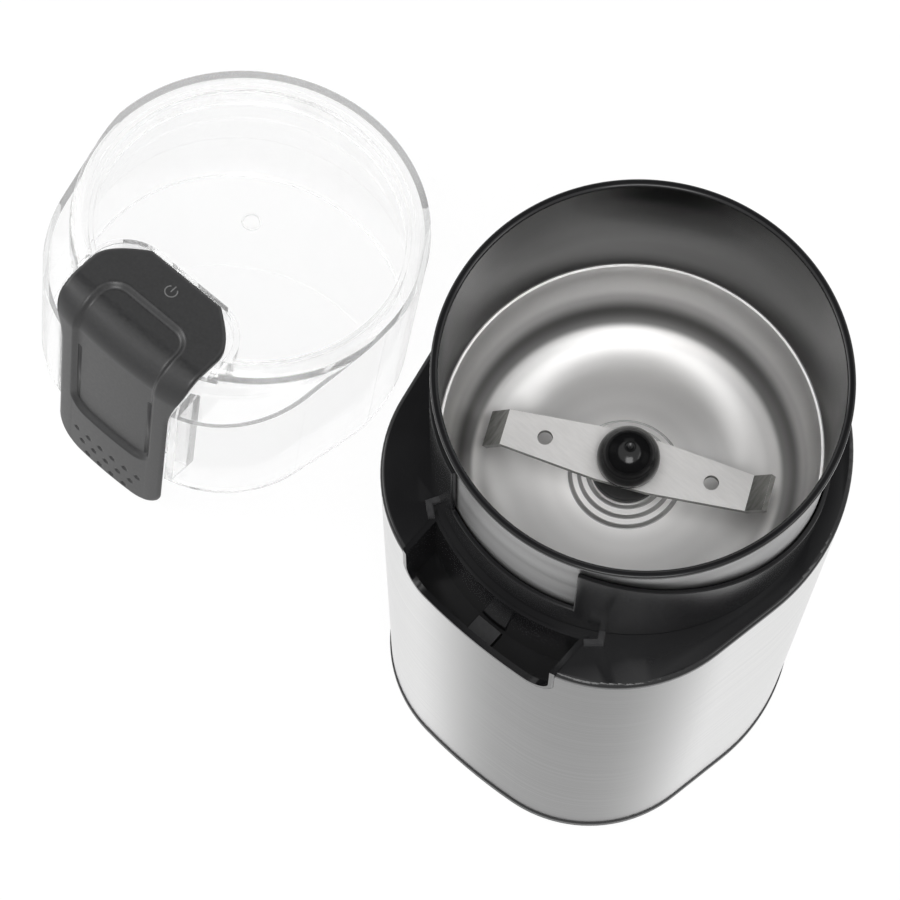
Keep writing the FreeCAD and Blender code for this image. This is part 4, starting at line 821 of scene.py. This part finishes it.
q_x = np.abs(X) - (PANEL_HALF - PANEL_CORNER)
q_s = np.abs(S - (PANEL_TOP + PANEL_FOOT) / 2) - ((PANEL_FOOT - PANEL_TOP) / 2 - PANEL_CORNER)
outside = np.hypot(np.maximum(q_x, 0), np.maximum(q_s, 0))
panel_edge = PANEL_CORNER - outside - np.minimum(np.maximum(q_x, q_s), 0)
Y, Z, NY, NZ, BENT = side_view(S)
fall = bow(X) * smooth_step(BENT, 0.0, 0.9)
round_r = np.minimum(EDGE_ROUND, LEAST_EDGE - fall)
near = np.clip(1 - to_rim / EDGE_ROUND, 0, 1)
sink = round_r * (1 - np.sqrt(1 - near ** 2)) + PANEL_DEPTH * smooth_step(panel_edge, *PANEL_SLOPE)
outer = np.stack([X, Y - NY * sink + fall, Z - NZ * sink], axis=-1)
inner = np.stack([X, Y - NY * THICK, Z - NZ * THICK], axis=-1)
print("deepest point of the relief:", round(float(sink.max()), 2), "mm")

# %% [markdown]
# The grid becomes a closed shell: outer face, inner face and a strip of side wall all round.
# Two ribs behind it slide down the lid's wall.

# %% Press plate: mesh
RIB_X, RIB_HALF, RIB_FRONT, RIB_ENDS, LID_WALL_R = 12.0, 0.8, -49.9, (5.0, 33.0), 46.3
BOX_FACES = ((0, 3, 2, 1), (4, 5, 6, 7), (0, 1, 5, 4), (1, 2, 6, 5), (2, 3, 7, 6), (3, 0, 4, 7))

rows, columns = S.shape
corners = np.concatenate([outer.reshape(-1, 3), inner.reshape(-1, 3)]) * MM
half_count = rows * columns
quads = []
for i in range(rows - 1):
    for j in range(columns - 1):
        a = i * columns + j
        b, c, d = a + 1, a + columns + 1, a + columns
        quads.append((a, d, c, b))
        quads.append((a + half_count, b + half_count, c + half_count, d + half_count))
ring = list(range(columns)) + [i * columns + columns - 1 for i in range(1, rows)]
ring += [(rows - 1) * columns + j for j in range(columns - 2, -1, -1)]
ring += [i * columns for i in range(rows - 2, 0, -1)]
for here, there in zip(ring, ring[1:] + ring[:1]):
    quads.append((here, there, there + half_count, here + half_count))
for side in (-1, 1):
    start = len(corners)
    x_low, x_high = side * RIB_X - RIB_HALF, side * RIB_X + RIB_HALF
    back_low, back_high = (-math.sqrt(LID_WALL_R ** 2 - x ** 2) for x in (x_low, x_high))
    rib_outline = ((x_low, RIB_FRONT), (x_high, RIB_FRONT), (x_high, back_high), (x_low, back_low))
    rib = [(x, y, z) for z in RIB_ENDS for x, y in rib_outline]
    corners = np.concatenate([corners, np.array(rib) * MM])
    for face in BOX_FACES:
        quads.append(tuple(start + index for index in face))
plate_mesh = bpy.data.meshes.new("plate_seated")
plate_mesh.from_pydata(corners.tolist(), [], quads)
close_up(plate_mesh)
print("plate grid:", rows, "by", columns)

# %% [markdown]
# Geometry Nodes make what repeats or follows a rule. These two helpers open a tree whose
# sizes are named inputs, and run it once to get a plain mesh.

# %% Helpers for trees


def tree_with_inputs(name, inputs, has_mesh):
    """An empty node tree with named inputs, and the identifier of each."""
    tree = bpy.data.node_groups.new(name, "GeometryNodeTree")
    if has_mesh:
        tree.interface.new_socket("Geometry", in_out="INPUT", socket_type="NodeSocketGeometry")
    names = {}
    for title, (kind, value) in inputs.items():
        socket = tree.interface.new_socket(title, in_out="INPUT", socket_type=kind)
        if value is not None:
            socket.default_value = value
        names[title] = socket.identifier
    tree.interface.new_socket("Geometry", in_out="OUTPUT", socket_type="NodeSocketGeometry")
    return tree, names, tree.nodes.new("NodeGroupInput"), tree.nodes.new("NodeGroupOutput")


def plain_result(name, mesh, tree, values):
    """Runs a tree on a mesh and returns the plain mesh it makes."""
    holder = put_in_scene(name + "_holder", mesh)
    modifier = holder.modifiers.new("made", "NODES")
    modifier.node_group = tree
    for identifier, value in values.items():
        modifier[identifier] = value
    holder.update_tag()
    bpy.context.view_layer.update()
    seen_as = holder.evaluated_get(bpy.context.evaluated_depsgraph_get())
    made = bpy.data.meshes.new_from_object(seen_as)
    made.name = name
    made.materials.clear()
    holder.modifiers.remove(modifier)
    bpy.data.objects.remove(holder)
    return made


print("two helpers for trees")

# %% [markdown]
# The grip at the foot of the plate is three rows of small dimples: six, five and four. They
# repeat, so a Geometry Nodes tree presses them in: it sets short lines at the dimples'
# centres, measures how far each point of the face is from the nearest line, and moves the
# points that are close enough backward.

# %% Grip dimples
GRIP_ROWS, FIRST_ROW_COUNT, PIN_HALF, BEHIND_FACE_Y = 3, 6, 0.002, -50.4

tree, names, given, result = tree_with_inputs("grip_dimples", {
    "Pitch": ("NodeSocketFloat", 4.3 * MM), "Row pitch": ("NodeSocketFloat", 4.4 * MM),
    "First row": ("NodeSocketFloat", -7.8 * MM), "Radius": ("NodeSocketFloat", 1.0 * MM),
    "Depth": ("NodeSocketFloat", 1.2 * MM), "Finish": ("NodeSocketMaterial", None)}, True)
given = given.outputs
all_rows = tree.nodes.new("GeometryNodeJoinGeometry")
for row in range(GRIP_ROWS):
    count = FIRST_ROW_COUNT - row
    line = tree.nodes.new("GeometryNodeMeshLine")
    line.inputs["Count"].default_value = count
    start = tree.nodes.new("ShaderNodeCombineXYZ")
    start.inputs["Y"].default_value = FACE_Y * MM
    left = arithmetic(tree, "MULTIPLY", given["Pitch"], -(count - 1) / 2)
    drop = arithmetic(tree, "MULTIPLY", given["Row pitch"], -row)
    step = tree.nodes.new("ShaderNodeCombineXYZ")
    tree.links.new(left, start.inputs["X"])
    tree.links.new(arithmetic(tree, "ADD", given["First row"], drop), start.inputs["Z"])
    tree.links.new(given["Pitch"], step.inputs["X"])
    tree.links.new(start.outputs[0], line.inputs["Start Location"])
    tree.links.new(step.outputs[0], line.inputs["Offset"])
    tree.links.new(line.outputs[0], all_rows.inputs[0])
pin = tree.nodes.new("GeometryNodeMeshLine")
pin.inputs["Count"].default_value = 2
pin.inputs["Start Location"].default_value = (0, -PIN_HALF, 0)
pin.inputs["Offset"].default_value = (0, 2 * PIN_HALF, 0)
pins = tree.nodes.new("GeometryNodeInstanceOnPoints")
real_pins = tree.nodes.new("GeometryNodeRealizeInstances")
nearest = tree.nodes.new("GeometryNodeProximity")
nearest.target_element = "EDGES"
place = tree.nodes.new("GeometryNodeInputPosition")
split = tree.nodes.new("ShaderNodeSeparateXYZ")
in_front = tree.nodes.new("FunctionNodeCompare")
in_front.operation = "LESS_THAN"
in_front.inputs["B"].default_value = BEHIND_FACE_Y * MM
push = tree.nodes.new("ShaderNodeCombineXYZ")
move = tree.nodes.new("GeometryNodeSetPosition")
realize = tree.nodes.new("GeometryNodeRealizeInstances")
paint = tree.nodes.new("GeometryNodeSetMaterial")
tree.links.new(all_rows.outputs[0], pins.inputs["Points"])
tree.links.new(pin.outputs[0], pins.inputs["Instance"])
tree.links.new(pins.outputs[0], real_pins.inputs[0])
tree.links.new(real_pins.outputs[0], nearest.inputs[0])
dent = step_between(tree, nearest.outputs["Distance"], 0.0, given["Radius"], given["Depth"], 0.0)
tree.links.new(dent, push.inputs["Y"])
tree.links.new(place.outputs[0], split.inputs[0])
tree.links.new(split.outputs["Y"], in_front.inputs["A"])
tree.links.new(given["Geometry"], move.inputs["Geometry"])
tree.links.new(in_front.outputs[0], move.inputs["Selection"])
tree.links.new(push.outputs[0], move.inputs["Offset"])
tree.links.new(move.outputs[0], realize.inputs[0])
tree.links.new(realize.outputs[0], paint.inputs["Geometry"])
tree.links.new(given["Finish"], paint.inputs["Material"])
tree.links.new(paint.outputs[0], result.inputs[0])

plate_ready = plain_result("press_plate_piece", plate_mesh, tree, {names["Finish"]: plate_black})
print("dimpled plate:", len(plate_ready.vertices), "points")

# %% [markdown]
# The plate was drawn as if the lid sat on the cup. On the table the lid leans on the plate's
# tail, so one matrix stands every piece of the lid there.

# %% Stand the lid's pieces on the floor
LID_R, TAIL_BACK, LID_PLACE = 46.0, 49.6, (-125.8, -1.8)
LEAN = math.atan2(-TAIL, LID_R + TAIL_BACK)
STAND = (Matrix.Translation(Vector((*LID_PLACE, LID_R * math.sin(LEAN))) * MM)
         @ Matrix.Rotation(-LEAN, 4, "X"))

plate_ready.transform(STAND)
add_piece("press_plate_piece", plate_ready, [plate_black], "press_plate", "press_plate")

# %% [markdown]
# A power symbol is printed on the flap. It is the general sign for a switch: a ring with a
# gap and a short bar. The strips stand a few hundredths of a millimetre proud, as ink does.

# %% Power symbol
INK_WIDTH, INK_HEIGHT, INK_FOOT = 0.32, 0.03, FLAP_TOP - 0.01
SYMBOL_R, SYMBOL_Y, SYMBOL_ARC = 1.6, -30.2, range(38, 323, 6)
SYMBOL_BAR = ((0.0, -30.4), (0.0, -28.3))


def ink_strip(path_points):
    """A thin strip of ink along a path on top of the flap, in mm."""
    corners, faces = [], []
    count = len(path_points)
    for index, (x, y) in enumerate(path_points):
        before = Vector(path_points[max(index - 1, 0)])
        after = Vector(path_points[min(index + 1, count - 1)])
        along = (after - before).normalized()
        side = Vector((-along.y, along.x)) * (INK_WIDTH / 2)
        for way, dz in ((1, 0), (-1, 0), (-1, INK_HEIGHT), (1, INK_HEIGHT)):
            corners.append(((x + way * side.x) * MM, (y + way * side.y) * MM,
                            (INK_FOOT + dz) * MM))
    for index in range(count - 1):
        a, b = index * 4, index * 4 + 4
        faces += [(a + k, a + (k + 1) % 4, b + (k + 1) % 4, b + k) for k in range(4)]
    faces += [(3, 2, 1, 0), tuple(range(4 * count - 4, 4 * count))]
    return corners, faces


ring_path = [(SYMBOL_R * math.sin(math.radians(a)), SYMBOL_R * math.cos(math.radians(a)) + SYMBOL_Y)
             for a in SYMBOL_ARC]
ring_corners, ring_faces = ink_strip(ring_path)
bar_corners, bar_faces = ink_strip(SYMBOL_BAR)
bar_faces = [tuple(index + len(ring_corners) for index in face) for face in bar_faces]
mark_mesh = bpy.data.meshes.new("power_mark")
mark_mesh.from_pydata(ring_corners + bar_corners, [], ring_faces + bar_faces)
close_up(mark_mesh)
mark_mesh.transform(STAND)
add_piece("power_mark", mark_mesh, [mark_grey], "press_plate", None, False)

# %% [markdown]
# A coil spring repeats a turn, so one Geometry Nodes tree makes all three springs: a spiral
# curve gets a round wire. The solids show them as plain sleeves.

# %% Tree for coil springs
TURN_STEPS, WIRE_SIDES = 28, 8

coil_tree, coil_names, given, result = tree_with_inputs("coil_spring", {
    "Turns": ("NodeSocketFloat", 5.0), "Radius": ("NodeSocketFloat", 2.3 * MM),
    "Height": ("NodeSocketFloat", 3.0 * MM), "Wire": ("NodeSocketFloat", 0.25 * MM),
    "Finish": ("NodeSocketMaterial", None)}, False)
given = given.outputs
spiral = coil_tree.nodes.new("GeometryNodeCurveSpiral")
spiral.inputs["Resolution"].default_value = TURN_STEPS
wire = coil_tree.nodes.new("GeometryNodeCurvePrimitiveCircle")
wire.inputs["Resolution"].default_value = WIRE_SIDES
body = coil_tree.nodes.new("GeometryNodeCurveToMesh")
body.inputs["Fill Caps"].default_value = True
realize = coil_tree.nodes.new("GeometryNodeRealizeInstances")
paint = coil_tree.nodes.new("GeometryNodeSetMaterial")
coil_tree.links.new(given["Turns"], spiral.inputs["Rotations"])
coil_tree.links.new(given["Radius"], spiral.inputs["Start Radius"])
coil_tree.links.new(given["Radius"], spiral.inputs["End Radius"])
coil_tree.links.new(given["Height"], spiral.inputs["Height"])
coil_tree.links.new(given["Wire"], wire.inputs["Radius"])
coil_tree.links.new(spiral.outputs[0], body.inputs["Curve"])
coil_tree.links.new(wire.outputs[0], body.inputs["Profile Curve"])
coil_tree.links.new(body.outputs[0], realize.inputs[0])
coil_tree.links.new(realize.outputs[0], paint.inputs["Geometry"])
coil_tree.links.new(given["Finish"], paint.inputs["Material"])
coil_tree.links.new(paint.outputs[0], result.inputs[0])
print("coil tree with inputs", ", ".join(coil_names))

# %% [markdown]
# Two return springs push the press plate away from the lid, and one pushes the interlock
# plunger up.

# %% Coil springs
RETURN_X, RETURN_Y, RETURN_SEAT, RETURN_FOOT = 9.5, -37.0, 45.1, 44.8
PLUNGER_Y, PLUNGER_SEAT = -49.45, 105.85


def coil(name, turns, radius, height, wire_r, stand):
    """A spring on its seat, in mm; stand is the matrix that puts it there."""
    values = {coil_names["Turns"]: turns, coil_names["Radius"]: radius * MM,
              coil_names["Height"]: height * MM, coil_names["Wire"]: wire_r * MM,
              coil_names["Finish"]: plated_steel}
    mesh = close_up(plain_result(name, bpy.data.meshes.new(name + "_empty"), coil_tree, values))
    mesh.transform(stand)
    return mesh


for side, node in ((-1, "return_spring_left"), (1, "return_spring_right")):
    seat = Vector((side * RETURN_X, RETURN_Y, RETURN_SEAT)) * MM
    spring_mesh = coil(node + "_coil", turns=4.0, radius=2.3, height=2.9, wire_r=0.28,
                       stand=STAND @ Matrix.Translation(seat))
    spring = add_piece(node + "_coil", spring_mesh, [plated_steel], "lid", node)
    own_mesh(spring)
seat = Vector((0, PLUNGER_Y, PLUNGER_SEAT)) * MM
spring_mesh = coil("plunger_spring_coil", turns=6.0, radius=2.45, height=5.8, wire_r=0.32,
                   stand=Matrix.Translation(seat))
spring = add_piece("plunger_spring_coil", spring_mesh, [plated_steel], "base", "plunger_spring")
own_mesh(spring)

# %% [markdown]
# Two raised arrowheads stand on the deck, one on each side of the pocket. Each is a chevron
# that points away from it, drawn flat, pushed up and broken along its upper edges.

# %% Arrowheads
ARROW_SHAPE = ((2.0, 0), (-0.7, 3.2), (-1.9, 2.3), (0.0, 0), (-1.9, -2.3), (-0.7, -3.2))
ARROW_ROOT, ARROW_HEIGHT, ARROW_EDGE = -0.2, 1.0, 0.22


def arrowhead(name, place, degrees):
    """A raised chevron with broken edges; place is on the deck, in mm."""
    work = bmesh.new()
    base = [work.verts.new((x * MM, y * MM, ARROW_ROOT * MM)) for x, y in ARROW_SHAPE]
    face = work.faces.new(base)
    grown = bmesh.ops.extrude_face_region(work, geom=[face])
    tops = [item for item in grown["geom"] if isinstance(item, bmesh.types.BMVert)]
    bmesh.ops.translate(work, verts=tops, vec=(0, 0, ARROW_HEIGHT * MM))
    bmesh.ops.recalc_face_normals(work, faces=work.faces)
    upper = [edge for edge in work.edges if all(vert.co.z > 0 for vert in edge.verts)]
    bmesh.ops.bevel(work, geom=upper, offset=ARROW_EDGE * MM, segments=2, affect="EDGES")
    mesh = bpy.data.meshes.new(name)
    work.to_mesh(mesh)
    work.free()
    turn = Matrix.Rotation(math.radians(degrees), 4, "Z")
    mesh.transform(Matrix.Translation(Vector(place) * MM) @ turn)
    add_piece(name, close_up(mesh), [satin_black], "base", None, False)


arrowhead("arrow_left", (-23.1, -39.7, 139.0), -170)
arrowhead("arrow_right", (23.3, -39.6, 139.0), -10)

# %% [markdown]
# Where the plastic flowed into the lid's mould, a small round mark is left at the centre of
# its top. It is a thin ring of the same clear plastic, turned on the lathe.

# %% Gate mark
GATE_R, GATE_WIRE, GATE_Z, GATE_SIDES = 2.3, 0.25, 48.66, 12

gate_ring = [Vector((GATE_R + GATE_WIRE * math.cos(a), GATE_Z + GATE_WIRE * math.sin(a)))
             for a in (math.radians(360 / GATE_SIDES * k) for k in range(GATE_SIDES))]
gate_mesh = lathe("gate_mark", gate_ring, 48)
gate_mesh.transform(STAND)
add_piece("gate_mark", gate_mesh, [clear_plastic], "lid", None)
